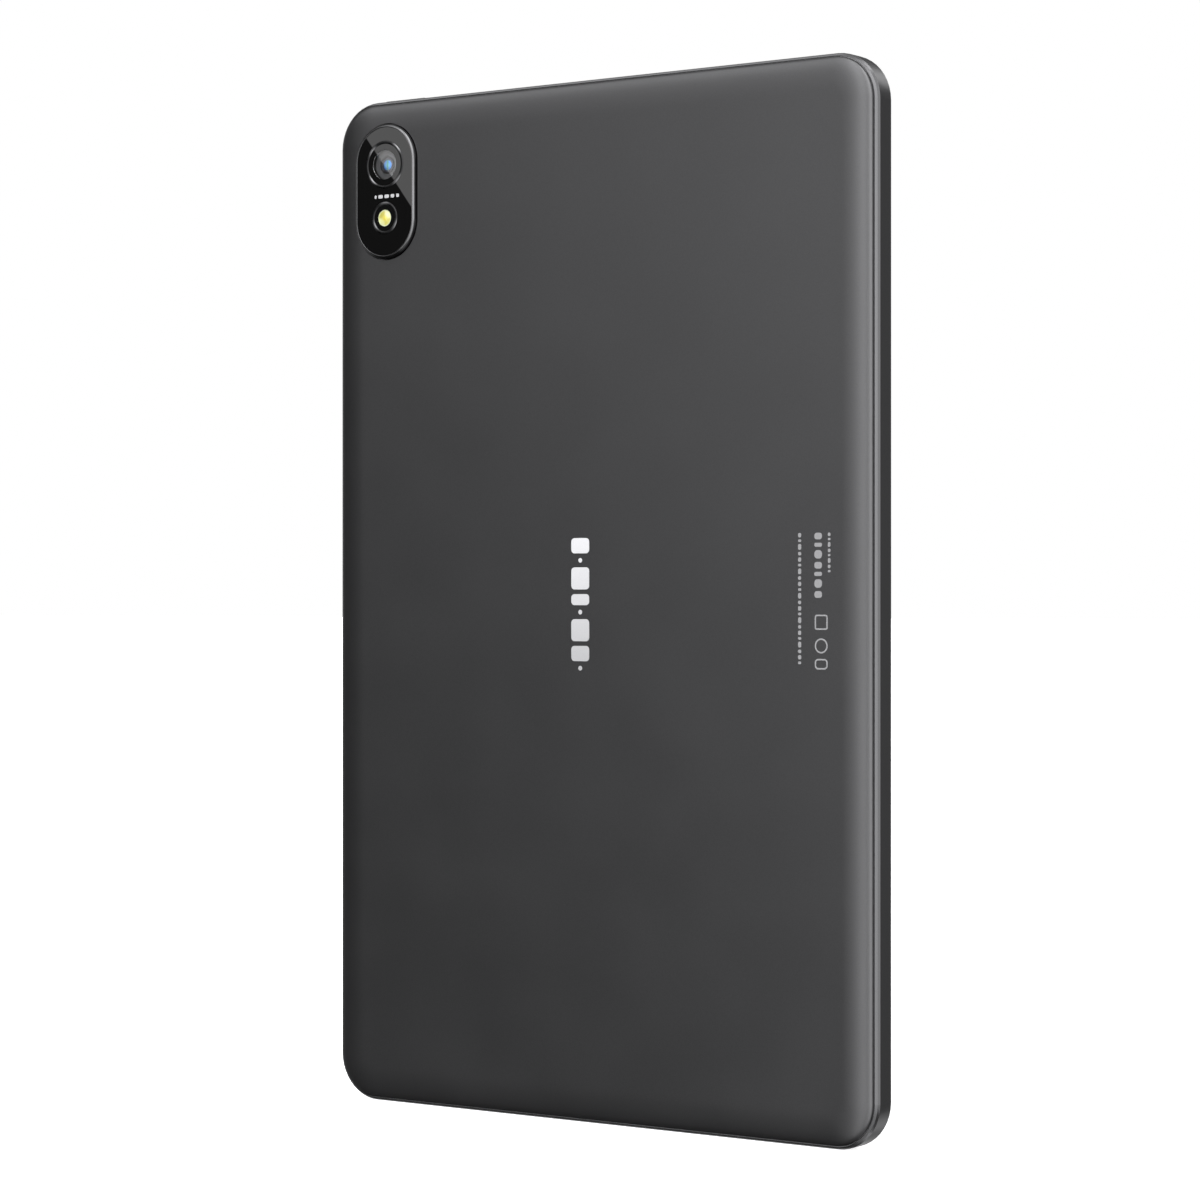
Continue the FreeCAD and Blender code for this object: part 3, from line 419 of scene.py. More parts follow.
def turned_metal_painted_glints(name, centre, lobes, first, bright):
    """Dark turned metal with painted highlights: its colour brightens in a few sectors as painted glints,
    the first at an angle in degrees.
    """
    s = Shader(name)
    turn = s.math("SUBTRACT", s.around(centre), math.radians(first))
    # painted highlight: sectors round the ring where the colour is brightened to stand in for glints
    painted_glint_sector = s.range(s.math("COSINE", s.math("MULTIPLY", turn, lobes)), -0.1, 1.0)
    fine = s.noise(9000.0, 2.0)
    painted_glint_tone = s.mix(fine, grey(bright * 0.92), grey(bright * 1.06))
    s.set(Base_Color=s.mix(s.math("MULTIPLY", painted_glint_sector, painted_glint_sector), grey(0.024), painted_glint_tone), Metallic=1.0)
    s.set(Roughness=s.range(s.noise(900.0), 0.3, 0.7, 0.26, 0.38))
    return s.bump(fine, 0.0004 * MM)


def gloss_black(name):
    """Back-printed glass: deep black under a polished surface."""
    s = Shader(name)
    speck = s.noise(2500.0, 2.0)
    s.set(Base_Color=s.mix(speck, grey(0.0010), grey(0.0022)), IOR=1.82)
    s.set(Roughness=s.range(s.noise(60.0), 0.3, 0.7, 0.0, 0.008))
    return s


def screen_glass():
    """Front glass: black border print, a faintly lighter lit area, and the eye of the front camera."""
    s = gloss_black("screen_glass")
    dark_side, dark_end = 1.3 * MM, 2.1 * MM
    half_x = (PANEL_HIGH.x - PANEL_LOW.x) / 2 - dark_side
    half_z = (PANEL_HIGH.z - PANEL_LOW.z) / 2 - dark_end
    soft = 0.05 * MM
    in_x = s.range(s.math("ABSOLUTE", s.axis("X")), half_x + soft, half_x - soft)
    off_z = s.math("ABSOLUTE", s.math("SUBTRACT", s.axis("Z"), MID_Z))
    in_z = s.range(off_z, half_z + soft, half_z - soft)
    lit = s.math("MULTIPLY", in_x, in_z)
    border = s.mix(s.noise(2500.0, 2.0), grey(0.002), grey(0.004))
    cell = s.mix(s.waves("X", 0.12 * MM), colour(0.0055, 0.0058, 0.0068), colour(0.0075, 0.0078, 0.009))
    away = s.from_line(FRONT_CAM)
    ring = s.math("MULTIPLY", s.range(away, 1.15 * MM, 1.2 * MM), s.range(away, 1.55 * MM, 1.5 * MM))
    pupil = s.range(away, 0.62 * MM, 0.55 * MM)
    tone = s.mix(lit, border, cell)
    tone = s.mix(ring, tone, grey(0.03))
    s.set(Base_Color=s.mix(pupil, tone, colour(0.02, 0.03, 0.09)))
    return s


def clear_glass():
    """Clear disc over the lens, with a barely blue tint and faint cleaning marks."""
    s = Shader("clear_glass")
    s.set(Base_Color=s.mix(s.noise(800.0), colour(0.97, 0.98, 1.0), colour(1, 1, 1)))
    s.set(Transmission_Weight=1.0, IOR=1.7)
    s.set(Roughness=s.range(s.noise(300.0), 0.3, 0.7, 0.0, 0.01))
    return s


def barrel_face():
    """Satin grey plastic with fine turned ridges, darkening into the mouth."""
    s = Shader("barrel_face")
    away = s.from_line(LENS)
    ridges = s.math("SINE", s.math("MULTIPLY", away, 2 * math.pi / (0.16 * MM)))
    inner = s.range(away, 2.16 * MM, 2.22 * MM)
    rim = s.range(away, 3.2 * MM, 3.45 * MM)
    face = s.mix(rim, grey(0.10), grey(0.06))
    s.set(Base_Color=s.mix(inner, colour(0.016, 0.012, 0.009), face), Roughness=0.5)
    return s.bump(ridges, 0.002 * MM)


def coated_lens_painted_reflection():
    """Blue coating tint under a painted reflection: bright blue, lightest in the middle, with a green strip
    down the middle; it fades to violet at the rim.
    """
    s = Shader("coated_lens_painted_reflection")
    away = s.from_line(LENS)
    across = s.math("ABSOLUTE", s.offsets(LENS)[0])
    # painted reflection: a green strip down the middle of the lens
    green = s.range(across, 0.42 * MM, 0.10 * MM)
    # the coating's blue tint, painted bright and lightest in the middle as a painted reflection
    blue = s.mix(s.range(away, 0.2 * MM, 1.1 * MM), colour(0.22, 0.72, 1.0), colour(0.05, 0.33, 0.95))
    middle = s.mix(s.noise(1400.0), colour(0.05, 0.42, 0.26), colour(0.12, 0.55, 0.42))
    tone = s.mix(s.math("MULTIPLY", green, 0.85), blue, middle)
    rim = s.range(away, 1.12 * MM, 1.32 * MM)
    s.set(Base_Color=s.mix(rim, tone, colour(0.010, 0.012, 0.03)))
    s.set(Metallic=s.range(rim, 0.0, 1.0, 0.75, 0.0))
    s.set(Roughness=0.42, Coat_Weight=1.0, Coat_Roughness=0.02, IOR=1.6)
    return s


def flash_lens():
    """Pale yellow silicone lens with four facets and a phosphor glow behind."""
    s = Shader("flash_lens")
    away = s.from_line(FLASH)
    x, z = s.offsets(FLASH)
    side = s.range(s.math("MULTIPLY", x, z), -0.35 * MM * MM, 0.35 * MM * MM)
    facet = s.mix(side, colour(0.60, 0.60, 0.30), colour(0.50, 0.46, 0.10))
    centre = s.mix(s.noise(1800.0), colour(0.58, 0.50, 0.05), colour(0.66, 0.60, 0.14))
    tone = s.mix(s.range(away, 0.35 * MM, 1.0 * MM), centre, facet)
    rim = s.range(away, 1.55 * MM, 1.98 * MM)
    s.set(Base_Color=s.mix(rim, tone, colour(0.50, 0.55, 0.36)), Roughness=0.22)
    s.set(Subsurface_Weight=0.15, Subsurface_Radius=(0.4 * MM, 0.3 * MM, 0.1 * MM))
    s.set(Coat_Weight=0.6, Coat_Roughness=0.05)
    return s


def silk_print(name, tone):
    """Thin printed ink with slightly uneven coverage."""
    s = Shader(name)
    speck = s.noise(9000.0, 3.0)
    s.set(Base_Color=s.mix(s.range(speck, 0.35, 0.65), scaled(tone, 0.85), tone), Roughness=0.55)
    return s.bump(speck, 0.001 * MM)


def print_painted_lighter_at_top():
    """Light grey ink with painted light: a little brighter towards its top, where the light falls."""
    s = Shader("print_painted_lighter_at_top")
    speck = s.noise(9000.0, 3.0)
    # painted light: the ink's colour brightens with height
    height = s.range(s.axis("Z"), MID_Z - 16 * MM, MID_Z + 16 * MM)
    tone = s.mix(height, grey(0.34), grey(0.60))
    s.set(Base_Color=s.mix(s.range(speck, 0.35, 0.65), s.mix(0.15, tone, grey(0.1)), tone), Roughness=0.5)
    return s.bump(speck, 0.001 * MM)


def circuit_board():
    """Green solder resist over a pattern of tracks and vias."""
    s = Shader("circuit_board")
    upright = s.range(s.waves("X", 0.9 * MM), 0.55, 0.62)
    upright = s.math("MULTIPLY", upright, s.range(s.noise(130.0), 0.48, 0.52))
    level = s.range(s.waves("Z", 0.8 * MM), 0.55, 0.62)
    level = s.math("MULTIPLY", level, s.range(s.noise(90.0), 0.50, 0.46))
    copper = s.math("MAXIMUM", upright, level)
    via = s.range(s.cells(420.0), 0.16, 0.12)
    resist = s.mix(copper, colour(0.006, 0.055, 0.028), colour(0.014, 0.11, 0.05))
    s.set(Base_Color=s.mix(via, resist, colour(0.62, 0.50, 0.22)), Roughness=0.32)
    s.set(Metallic=s.math("MULTIPLY", via, 0.9))
    return s.bump(copper, 0.02 * MM)


def ribbon():
    """Amber film with copper tracks inside."""
    s = Shader("ribbon")
    upright = s.range(s.waves("X", 0.7 * MM), 0.5, 0.6)
    level = s.range(s.waves("Z", 2.3 * MM), 0.85, 0.95)
    track = s.math("MAXIMUM", upright, level)
    s.set(Base_Color=s.mix(track, colour(0.30, 0.11, 0.015), colour(0.52, 0.24, 0.05)), Roughness=0.3)
    s.set(Coat_Weight=0.5, Coat_Roughness=0.1)
    return s.bump(track, 0.015 * MM)


def sheet_steel(name, tone=0.52, roughness=0.3, stretch=(1.0, 1.0, 14.0)):
    """Rolled sheet with fine drawn lines."""
    s = Shader(name)
    lines = s.noise(900.0, 4.0, stretch=stretch)
    s.set(Base_Color=s.mix(lines, grey(tone * 0.85), grey(tone * 1.1)), Metallic=1.0)
    s.set(Roughness=s.range(lines, 0.3, 0.7, roughness * 0.8, roughness * 1.25))
    return s.bump(lines, 0.003 * MM)


def plate_metal():
    """Duller sheet of the mid plate, drawn along Z."""
    return sheet_steel("plate_metal", 0.6, 0.42, stretch=(14.0, 1.0, 1.0))


def battery_pouch():
    """Laminated dark pouch film with soft wrinkles."""
    s = Shader("battery_pouch")
    soft = s.noise(60.0, 4.0)
    s.set(Base_Color=s.mix(soft, grey(0.035), grey(0.055)), Metallic=0.4)
    s.set(Roughness=s.range(soft, 0.3, 0.7, 0.30, 0.45))
    return s.bump(soft, 0.25 * MM)


def wire_mesh():
    """Fine black woven wire."""
    s = Shader("wire_mesh")
    pitch = 0.22 * MM
    weave = s.math("MULTIPLY", s.waves("X", pitch), s.waves("Y", pitch))
    s.set(Base_Color=s.mix(s.range(weave, 0.2, 0.5), grey(0.004), grey(0.05)), Metallic=0.5, Roughness=0.45)
    return s.bump(weave, 0.04 * MM)


def foam(name, tone):
    """Closed-cell foam."""
    s = Shader(name)
    pores = s.cells(4200.0)
    s.set(Base_Color=s.mix(s.range(pores, 0.1, 0.5), grey(tone * 0.5), grey(tone)), Roughness=0.95)
    return s.bump(pores, 0.05 * MM)


def gold():
    """Plated contacts."""
    s = Shader("gold")
    fine = s.noise(5000.0, 2.0)
    s.set(Base_Color=s.mix(fine, colour(0.70, 0.46, 0.15), colour(0.86, 0.62, 0.24)), Metallic=1.0)
    s.set(Roughness=s.range(fine, 0.3, 0.7, 0.18, 0.28))
    return s.bump(fine, 0.001 * MM)


def cell_glass():
    """Edge and face of the liquid-crystal cell: near black, with a fine column pattern."""
    s = Shader("cell_glass")
    columns = s.waves("X", 0.12 * MM)
    s.set(Base_Color=s.mix(columns, colour(0.006, 0.007, 0.009), colour(0.012, 0.013, 0.016)))
    s.set(Roughness=s.range(s.noise(40.0), 0.3, 0.7, 0.06, 0.10))
    return s


def light_guide():
    """White reflector of the backlight, with its dot pattern."""
    s = Shader("light_guide")
    dots = s.range(s.cells(700.0), 0.18, 0.26)
    s.set(Base_Color=s.mix(dots, colour(0.62, 0.64, 0.68), colour(0.82, 0.83, 0.84)), Roughness=0.5)
    return s.bump(dots, 0.01 * MM)


def led_chip():
    """Yellow phosphor of the flash on its pale board."""
    s = Shader("led_chip")
    grain = s.noise(3000.0, 3.0)
    away = s.math("ABSOLUTE", s.offsets(FLASH)[1])
    on_board = s.range(away, 1.0 * MM, 1.15 * MM)
    phosphor = s.mix(grain, colour(0.80, 0.62, 0.10), colour(0.90, 0.76, 0.22))
    s.set(Base_Color=s.mix(on_board, phosphor, colour(0.75, 0.75, 0.72)), Roughness=0.55)
    return s.bump(grain, 0.01 * MM)


def graphite():
    """Heat-spreading sheet with pressed flakes."""
    s = Shader("graphite")
    flakes = s.noise(500.0, 5.0, stretch=(1.0, 1.0, 4.0))
    s.set(Base_Color=s.mix(flakes, grey(0.018), grey(0.05)), Metallic=0.3)
    s.set(Roughness=s.range(flakes, 0.3, 0.7, 0.35, 0.6))
    return s.bump(flakes, 0.02 * MM)


def tape():
    """White adhesive strip with fibres along Z."""
    s = Shader("tape")
    fibre = s.noise(700.0, 4.0, stretch=(1.0, 1.0, 0.1))
    s.set(Base_Color=s.mix(fibre, grey(0.66), grey(0.84)), Roughness=0.6)
    return s.bump(fibre, 0.01 * MM)


MADE = {}


def material(maker, *args, **options):
    """One material per maker and arguments, made once."""
    key = (maker.__name__, args)
    if key not in MADE:
        MADE[key] = maker(*args, **options).material
    return MADE[key]


def wear(obj, made):
    obj.data.materials.clear()
    obj.data.materials.append(made)
    return obj


def piece(obj, made, body=BODY, replaces=()):
    """Gives a new piece its material and its body, and hides the nodes that it stands for."""
    wear(obj, made)
    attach(obj, body)
    if replaces:
        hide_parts(*replaces)
    return obj


# ---------------------------------------------------------------- casing

def rear_cover():
    """Thin tray whose edge falls away in a quarter ellipse, cut out round the camera island."""
    top = BACK_Y / MM
    flat_inset = COVER_INSET + COVER_CURVE
    ceiling_y = top - COVER_WALL
    inside = [(inset, ceiling_y) for inset in reversed(CEILING_INSET)]
    inside += [(SKIRT_INSET[1], CEILING_EDGE_Y), (SKIRT_INSET[1], SKIRT_Y)]
    inside += [(SKIRT_INSET[0], SKIRT_Y), (SKIRT_INSET[0], LEDGE_Y), (COVER_INSET, LEDGE_Y)]
    edge = arc((COVER_INSET, COVER_EDGE_Y), (flat_inset, top), (flat_inset, COVER_EDGE_Y), steps=22)
    shell = loft("rear_cover_shell", body_rings(inside + edge), sharp_angle=40.0)
    outset = BEZEL_WIDTH + GROOVE_WIDTH
    hole = loft("hole", island_rings([(outset, BACK_Y - 3 * MM), (outset, BACK_Y + MM)]))
    carve(shell, hole)
    piece(shell, material(cover_metal), replaces=["rear_cover"])


# ---------------------------------------------------------------- camera island

def camera_bezel():
    """Metal ring with a sloped rim round the window, a seat for it and a flange under the cover."""
    foot = BEZEL_LOW.y
    flange_y = foot + FLANGE_T * MM
    flange = BEZEL_WIDTH + FLANGE_REACH
    soft = BEZEL_SOFT
    drop = (BEZEL_SLOPE_END - BEZEL_LAND) * math.tan(math.radians(BEZEL_SLOPE))
    slope_low = RIM_TOP - drop * MM
    inner_soft = 0.08
    section = [(flange, foot), (flange, flange_y), (BEZEL_WIDTH, flange_y)]
    section += [
        (BEZEL_WIDTH, BACK_Y - 0.1 * MM),
        (BEZEL_SLOPE_END + soft * 0.4, slope_low - soft * MM),
        (BEZEL_SLOPE_END - soft, slope_low + soft * 0.7 * MM),
        (BEZEL_LAND + soft, RIM_TOP - soft * 0.7 * MM),
        (BEZEL_LAND - soft, RIM_TOP),
    ]
    hub = (0.02 + inner_soft, RIM_TOP - inner_soft * MM)
    section += arc((hub[0], RIM_TOP), (0.02, hub[1]), hub, steps=3)
    section += [(0.02, GLASS_UNDER), (-WINDOW_SEAT, GLASS_UNDER), (-WINDOW_SEAT, foot)]
    ring = loft("bezel_ring", island_rings(section), closed=True, sharp_angle=50.0)
    piece(ring, material(polished, "bezel_metal", 0.1, 0.22), replaces=["camera_bezel"])


def camera_window():
    """Black glass with a softened edge, cut for both rings, the flash and the clear part."""
    hub = (-WINDOW_SOFT, GLASS_TOP - WINDOW_SOFT * MM)
    section = [(0.0, GLASS_UNDER)] + arc((0.0, hub[1]), (hub[0], GLASS_TOP), hub, steps=4)
    glass = loft("window_glass", island_rings(section))
    above = GLASS_TOP + 0.5 * MM
    below = GLASS_UNDER - 0.5 * MM
    groove = GLASS_TOP - RING_GROOVE_DEPTH * MM
    disc_low = GLASS_TOP - CLEAR_T * MM
    undercut = [(CLEAR_R + 0.9, below), (CLEAR_R + FIT, disc_low), (CLEAR_R + FIT, above)]
    flash_hole = [(FLASH_R + 2 * FIT, below), (FLASH_R + 2 * FIT, above)]
    cutters = [loft("cut", round_rings(LENS, undercut)), loft("cut", round_rings(FLASH, flash_hole))]
    for centre, radii in ((LENS, LENS_RING_R), (FLASH, FLASH_RING_R)):
        low, high = radii[0] - FIT, radii[1] + FIT
        rings = round_rings(centre, [(low, groove), (high, groove), (high, above), (low, above)])
        cutters.append(loft("cut", rings, closed=True))
    carve(glass, *cutters)
    piece(glass, material(gloss_black, "window_black"), replaces=["camera_window"])
    disc = loft("lens_cover_disc", round_rings(LENS, [(CLEAR_R, disc_low), (CLEAR_R, GLASS_TOP)]))
    piece(disc, material(clear_glass), replaces=["camera_window"])


def trim_ring(name, node, radii, made):
    """Ring with a domed crown that stands a little proud of the window."""
    low, high, centre = span(node)
    crown_low = high.y - RING_CROWN * MM
    middle = sum(radii) / 2
    half = (radii[1] - radii[0]) / 2
    section = [(radii[0], low.y), (radii[1], low.y)]
    steps = 12
    for i in range(steps + 1):
        t = math.radians(180.0 * i / steps)
        section.append((middle + half * math.cos(t), crown_low + RING_CROWN * MM * math.sin(t)))
    ring = loft(name, round_rings(centre, section, steps=24), closed=True, sharp_angle=50.0)
    piece(ring, made, replaces=[node])


def barrel_shell():
    """Lens barrel: ridged front face, stepped dark mouth and hollow bore."""
    front = BARREL_HIGH.y
    back = BARREL_LOW.y
    soft = 0.08
    section = [(BARREL_R, back), (BARREL_R, front - soft * MM), (BARREL_R - soft, front)]
    outer, inner = BARREL_R - 0.14, MOUTH_R[0] + 0.05
    ridge = 0.012 * MM
    steps = 6
    for i in range(steps + 1):
        radius = outer + (inner - outer) * i / steps
        section.append((radius, front - (ridge if i % 2 else 0.0)))
    section += [
        (MOUTH_R[0], front - 0.05 * MM),
        (MOUTH_R[1] + 0.15, front - 0.4 * MM),
        (MOUTH_R[1] + 0.1, front - 0.42 * MM),
        (MOUTH_R[1], front - MOUTH_DEPTH * MM),
        (MOUTH_R[1], back),
    ]
    shell = loft("barrel_shell", round_rings(LENS, section, steps=24), closed=True, sharp_angle=40.0)
    piece(shell, material(barrel_face), body=BARREL, replaces=["lens_barrel"])


def front_element():
    """Domed front lens on its black shoulder."""
    top = LENS_HIGH.y
    shoulder = top - PUPIL_RISE * MM
    section = [(LENS_R, LENS_LOW.y), (LENS_R, shoulder), (PUPIL_R, shoulder)]
    steps = 9
    for i in range(1, steps + 1):
        t = math.radians(90.0 * i / steps)
        section.append((max(PUPIL_R * math.cos(t), 0.02), shoulder + PUPIL_RISE * MM * math.sin(t)))
    lens = loft("front_element", round_rings(LENS, section, steps=20), sharp_angle=40.0)
    piece(lens, material(coated_lens_painted_reflection), body=BARREL, replaces=["rear_camera_lens"])


def flash_disc():
    """Flash lens with concentric prism steps, on its flange."""
    top = DIFFUSER_HIGH.y
    flange_r = FLASH_R + 0.8
    soft = 0.06
    section = [(flange_r, DIFFUSER_LOW.y), (flange_r, GLASS_UNDER), (FLASH_R, GLASS_UNDER)]
    section += [(FLASH_R, top - soft * MM), (FLASH_R - soft, top)]
    prisms, prism_rim, prism_depth = 6, 0.04, 0.09 * MM
    for i in range(prisms):
        outer = (FLASH_R - 0.3) * (prisms - i) / prisms
        section += [(outer, top), (outer - prism_rim, top - prism_depth)]
    section.append((0.03, top - 0.01 * MM))
    lens = loft("flash_disc", round_rings(FLASH, section, steps=20), sharp_angle=25.0)
    piece(lens, material(flash_lens), replaces=["flash_diffuser"])


# ---------------------------------------------------------------- key domes

def spring_dome(name, node):
    """Snap dome under its key, as a smooth steel copy of the node."""
    dome = bpy.data.objects.new(name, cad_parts[node].data.copy())
    bpy.context.scene.collection.objects.link(dome)
    piece(soften(dome), material(sheet_steel, "steel"), replaces=[node])
    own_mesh(dome)


# ---------------------------------------------------------------- printed marks

PRINT_T = 0.012  # thickness of the ink
STROKE = 0.35


def print_ring(shape, y, cut=0.0):
    """Outline of one shape (x, z, half width, half height, radius), drawn in by the cut."""
    x, z, half_x, half_z, radius = (value * MM for value in shape)
    cut *= MM
    return loop(x, z, half_x - cut, half_z - cut, radius - cut, y, steps=6)


def print_shapes(name, made, base_y, filled, outlined=()):
    """Flat printed shapes, some filled and some drawn as a stroke."""
    top = base_y + PRINT_T * MM
    bm = bmesh.new()
    for shape in filled:
        skin(bm, [print_ring(shape, base_y), print_ring(shape, top)])
    for shape in outlined:
        outer = [print_ring(shape, base_y), print_ring(shape, top)]
        inner = [print_ring(shape, top, STROKE), print_ring(shape, base_y, STROKE)]
        skin(bm, outer + inner, closed=True)
    piece(finish_mesh(name, bm), made)


def back_emblem():
    """Abstract column of rounded bars and dots at the middle of the back."""
    x, z = 3.05, 137.9
    half, corner, gap, dot_r = 2.6, 0.9, 1.1, 0.55
    shapes = []
    for length, dotted in ((3.6, True), (5.2, False), (2.6, True), (5.2, False), (3.6, True)):
        shapes.append((x, z - length / 2, half, length / 2, corner))
        z -= length + gap
        if dotted:
            shapes.append((x, z - dot_r, dot_r, dot_r, dot_r * 0.9998))
            z -= 2 * dot_r + gap
    print_shapes("back_emblem", material(print_painted_lighter_at_top), BACK_Y, shapes)


def dashes(x, half_x, top, bottom, lengths, gap):
    """Column of rounded dashes going down from top to bottom with repeating lengths."""
    made = []
    z = top
    for length in itertools.cycle(lengths):
        if z - length <= bottom:
            return made
        made.append((x, z - length / 2, half_x, length / 2, min(half_x, length / 2) * 0.8))
        z -= length + gap


def fine_marks():
    """Columns of small dashes, blocks and plain outlined shapes near the edge of the back."""
    top = 138.4
    shapes = dashes(-57.9, 0.42, top, 107.6, (1.0, 0.6, 1.3, 0.8), 0.45)
    shapes += dashes(-62.8, 1.0, top, 122.8, (1.5, 0.9, 1.9), 0.75)
    shapes += dashes(-65.7, 0.35, top, 128.3, (0.8, 0.5, 1.1), 0.4)
    x, half = -63.6, 1.7
    outlines = [(x, 118.3, half, half, 0.5), (x, 113.0, half, half, 1.69), (x, 108.9, half, 1.2, 0.9)]
    print_shapes("fine_marks", material(silk_print, "mark_ink", grey(0.24)), BACK_Y, shapes, outlines)


def island_mark():
    """Small row of plain dashes between the lens and the flash."""
    z, half_z, corner = 222.3, 0.42, 0.28
    places = ((64.4, 0.3), (62.85, 0.7), (60.9, 0.7), (59.1, 0.55), (57.5, 0.45))
    shapes = [(x, z, half_x, half_z, corner) for x, half_x in places]
    print_shapes("island_mark", material(silk_print, "white_ink", grey(0.42)), GLASS_TOP, shapes)


# ---------------------------------------------------------------- carried-over nodes

REPLACED = {
    "rear_cover", "camera_bezel", "camera_window", "lens_trim_ring", "flash_trim_ring",
    "flash_diffuser", "lens_barrel", "rear_camera_lens", "power_key_dome", "volume_domes",
}


def dress_nodes():
    """Materials for every CAD node that stays, in steel where no other look is named."""
    black = material(satin, "black_plastic", grey(0.016), 0.48)
    steel = material(sheet_steel, "steel")
    board = material(circuit_board)
    film = material(ribbon)
    key = material(satin, "key_metal", grey(0.095), 0.33, 0.95)
    looks = {
        "side_frame": material(frame_metal),
        "mid_plate": material(plate_metal),
        "cover_glass": material(screen_glass),
        "display_adhesive": material(foam, "foam", 0.02),
        "display_panel": material(cell_glass),
        "backlight_unit": material(light_guide),
        "front_camera": black,
        "flash_led": material(led_chip),
        "rear_camera_housing": black,
        "rear_camera_sensor": material(satin, "chip", grey(0.02), 0.4),
        "camera_gasket": material(foam, "foam", 0.02),
        "power_key": key,
        "volume_rocker": key,
        "card_tray": key,
        "tray_seal": material(satin, "seal_rubber", grey(0.02), 0.75),
        "usb_tongue": black,
        "usb_contacts": material(gold),
        "main_board": board,
        "sub_board": board,
        "battery_protection_board": board,
        "board_chips": material(satin, "chip", grey(0.02), 0.4),
        "battery_cells": material(battery_pouch),
        "battery_adhesive": material(tape),
        "graphite_sheet": material(graphite),
        "speaker_meshes": material(wire_mesh),
        "wifi_antennas": black,
    }
    for name in sorted(set(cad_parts) - REPLACED):
        if name.endswith("_flex"):
            made = film
        elif name.startswith(("speaker_box", "speaker_diaphragm")):
            made = black
        else:
            made = looks.get(name, steel)
        soften(wear(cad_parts[name], made))
    crisp_rims(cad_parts["side_frame"])


# ---------------------------------------------------------------- stage

VIEW_TURN = math.radians(35.5)  # from straight behind the back towards -X
CAMERA_LENS = 102.88
SENSOR = 36.0
CAMERA_SHIFT = 0.0011
CAMERA_PLACE = (-0.4698, 0.6588, 0.1230)
FLOOR_SIZE = 40.0


def camera():
    """Level camera at the viewing angle of the photograph."""
    data = bpy.data.cameras.new("camera")
    data.lens = CAMERA_LENS
    data.sensor_width = SENSOR
    data.shift_y = CAMERA_SHIFT
    data.clip_start = 0.01
    data.clip_end = 200.0
    obj = bpy.data.objects.new("camera", data)
    bpy.context.scene.collection.objects.link(obj)
    obj.location = CAMERA_PLACE
    ahead = Vector((math.sin(VIEW_TURN), -math.cos(VIEW_TURN), 0))
    obj.rotation_euler = ahead.to_track_quat("-Z", "Y").to_euler()
    bpy.context.scene.camera = obj


def floor():
    """Plain pale floor, lit so that it stays near white."""
    bm = bmesh.new()
    half = FLOOR_SIZE / 2
    corners = [(-half, -half), (half, -half), (half, half), (-half, half)]
    bm.faces.new([bm.verts.new((x, y, FRAME_LOW.z)) for x, y in corners])
    obj = finish_mesh("floor", bm)
    s = Shader("floor_paint")
    s.set(Base_Color=s.mix(s.noise(2.0), grey(0.86), grey(0.90)), Roughness=0.9)
    s.set(Emission_Color=(1, 1, 1, 1), Emission_Strength=0.85)
    wear(obj, s.material)
    obj.visible_glossy = False
    obj.visible_diffuse = False
    obj.visible_transmission = False


class Sky(Nodes):
    """World light as soft boxes on a sphere, by bearing and height in degrees.

    The bearing is 0 towards +Y (behind the tablet's back) and grows towards -X.
    """

    def __init__(self):
        world = bpy.data.worlds.new("studio")
        bpy.context.scene.world = world
        world.use_nodes = True
        super().__init__(world.node_tree)
        self.shade = self.tree.nodes["Background"]
        way = self.split(self.tree.nodes.new("ShaderNodeTexCoord").outputs["Generated"])
        left = self.math("MULTIPLY", way["X"], -1.0)
        self.bearing = self.degrees(self.math("ARCTAN2", left, way["Y"]))
        self.height = self.degrees(self.math("ARCSINE", way["Z"]))
        self.total = 0.0

    def degrees(self, value):
        return self.math("MULTIPLY", value, 180.0 / math.pi)

    def ramp(self, value, low, high, to_low=0.0, to_high=1.0):
        return self.range(value, low, high, to_low, to_high, curve="SMOOTHSTEP")

    def add(self, amount):
        self.total = self.math("ADD", self.total, amount)

    def box(self, bearing, height, soft, strength, fade):
        """Box between two bearings and two heights; fade is the share of its strength at the low end."""
        parts = [
            self.ramp(self.bearing, bearing[0] - soft, bearing[0] + soft),
            self.ramp(self.bearing, bearing[1] + soft, bearing[1] - soft),
            self.ramp(self.height, height[0] - soft, height[0] + soft),
            self.ramp(self.height, height[1] + soft, height[1] - soft),
            self.ramp(self.height, height[0], height[1], fade, 1.0),
        ]
        amount = strength
        for part in parts:
            amount = self.math("MULTIPLY", part, amount)
        self.add(amount)

    def card(self, first, second, strength, ends, soft=0.008):
        """Card on the greater bearings of the line through two (bearing, height) points, with a crisp edge.

        Strength is its pair of values below and above the horizon. Each end is the pair of bearings
        between which it goes from nothing to full.
        """
        slope_x = second[1] - first[1]
        slope_y = first[0] - second[0]
        size = math.hypot(slope_x, slope_y)
        across = self.math("MULTIPLY", self.math("SUBTRACT", self.bearing, first[0]), -slope_x / size)
        along = self.math("MULTIPLY", self.math("SUBTRACT", self.height, first[1]), -slope_y / size)
        amount = self.ramp(self.math("ADD", across, along), -soft, soft)
        amount = self.math("MULTIPLY", amount, self.ramp(self.height, -10.0, 10.0, *strength))
        for nothing, full in ends:
            amount = self.math("MULTIPLY", amount, self.ramp(self.bearing, nothing, full))
        self.add(amount)

    def finish(self):
        """White to the camera, and the boxes to everything else."""
        seen = self.tree.nodes.new("ShaderNodeLightPath").outputs["Is Camera Ray"]
        mix = self.tree.nodes.new("ShaderNodeMix")
        self.feed(mix.inputs[0], seen)
        self.feed(mix.inputs[2], self.total)
        self.feed(mix.inputs[3], 1.0)
        self.tree.links.new(mix.outputs[0], self.shade.inputs["Strength"])
        self.shade.inputs["Color"].default_value = (1, 1, 1, 1)


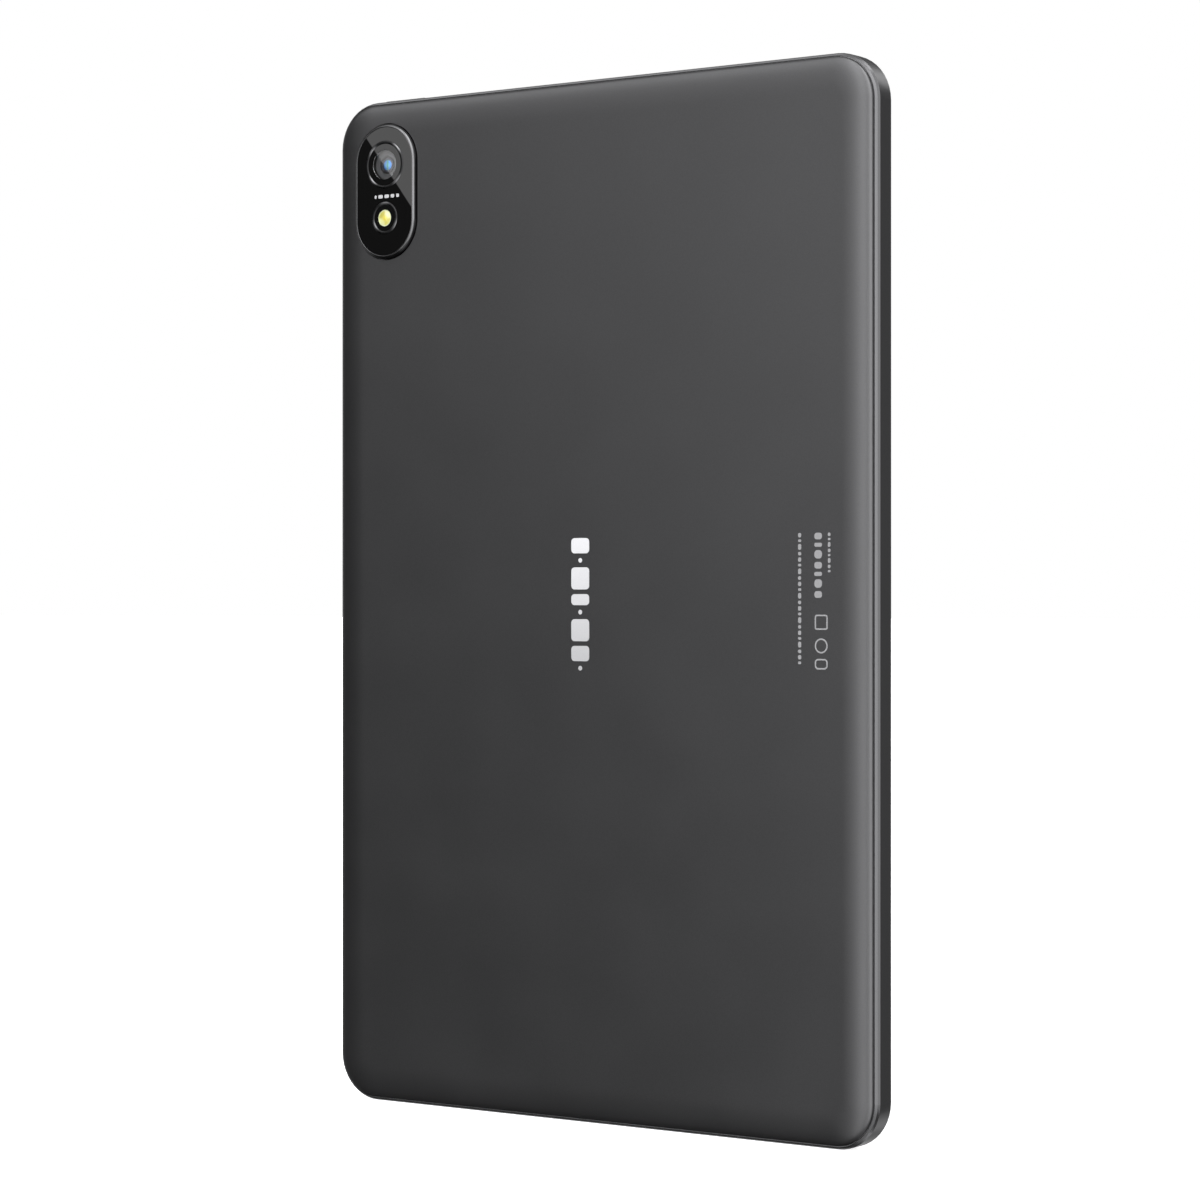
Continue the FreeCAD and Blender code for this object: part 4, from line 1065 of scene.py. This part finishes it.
# Soft boxes: bearings, heights, softness of the edges, strength, share of it at the low end
BOXES = (
    # behind the tablet: a wide wash with two brighter parts, and a strip on the left
    ((-20.5, 34.0), (-30.0, 62.0), 4.0, 0.9, 0.42),
    ((-20.5, -8.0), (-30.0, 62.0), 2.5, 3.8, 0.42),
    ((1.5, 34.0), (-30.0, 62.0), 2.5, 4.2, 0.42),
    ((-62.0, -18.0), (23.0, 62.0), 6.0, 1.3, 1.0),
    # beside the long edge that the camera sees
    ((50.0, 82.0), (-18.0, 60.0), 6.0, 0.42, 1.0),
    ((88.0, 118.0), (-18.0, 60.0), 6.0, 0.68, 1.0),
    # before the screen
    ((120.0, 172.0), (-12.0, 12.0), 10.0, 0.30, 1.0),
    ((136.0, 176.0), (24.0, 60.0), 8.0, 2.6, 1.0),
    ((136.0, 176.0), (-60.0, -22.0), 8.0, 1.3, 1.0),
    ((-170.0, -132.0), (-40.0, 14.0), 9.0, 0.8, 1.0),
    # beside the edge with the keys
    ((-132.0, -96.0), (42.0, 66.0), 5.0, 0.42, 1.0),
    ((-125.0, -78.0), (-30.0, 20.0), 8.0, 0.5, 1.0),
)


def studio():
    """Dim dome, one card whose edge crosses the camera window, and the soft boxes."""
    sky = Sky()
    sky.add(sky.ramp(sky.height, 0.0, 75.0, 0.040, 0.35))
    sky.card((-39.39, 7.66), (-38.64, 6.55), (0.50, 0.92), ends=((95.0, 60.0), (-54.0, -44.0)))
    for box in BOXES:
        sky.box(*box)
    sky.finish()


def main():
    """Stage first, then every piece from the outside in."""
    bpy.context.scene.view_settings.view_transform = "Standard"
    camera()
    floor()
    studio()
    rear_cover()
    camera_bezel()
    camera_window()
    # trim rings with glints painted into their colour: four on the lens ring, three on the flash ring
    four_painted_glints = turned_metal_painted_glints("lens_ring_painted_glints", LENS, 4, 45.0, 0.20).material
    trim_ring("lens_ring", "lens_trim_ring", LENS_RING_R, four_painted_glints)
    three_painted_glints = turned_metal_painted_glints("flash_ring_painted_glints", FLASH, 3, 90.0, 0.13).material
    trim_ring("flash_ring", "flash_trim_ring", FLASH_RING_R, three_painted_glints)
    barrel_shell()
    front_element()
    flash_disc()
    spring_dome("power_snap_dome", "power_key_dome")
    spring_dome("volume_snap_domes", "volume_domes")
    back_emblem()
    fine_marks()
    island_mark()
    dress_nodes()


main()
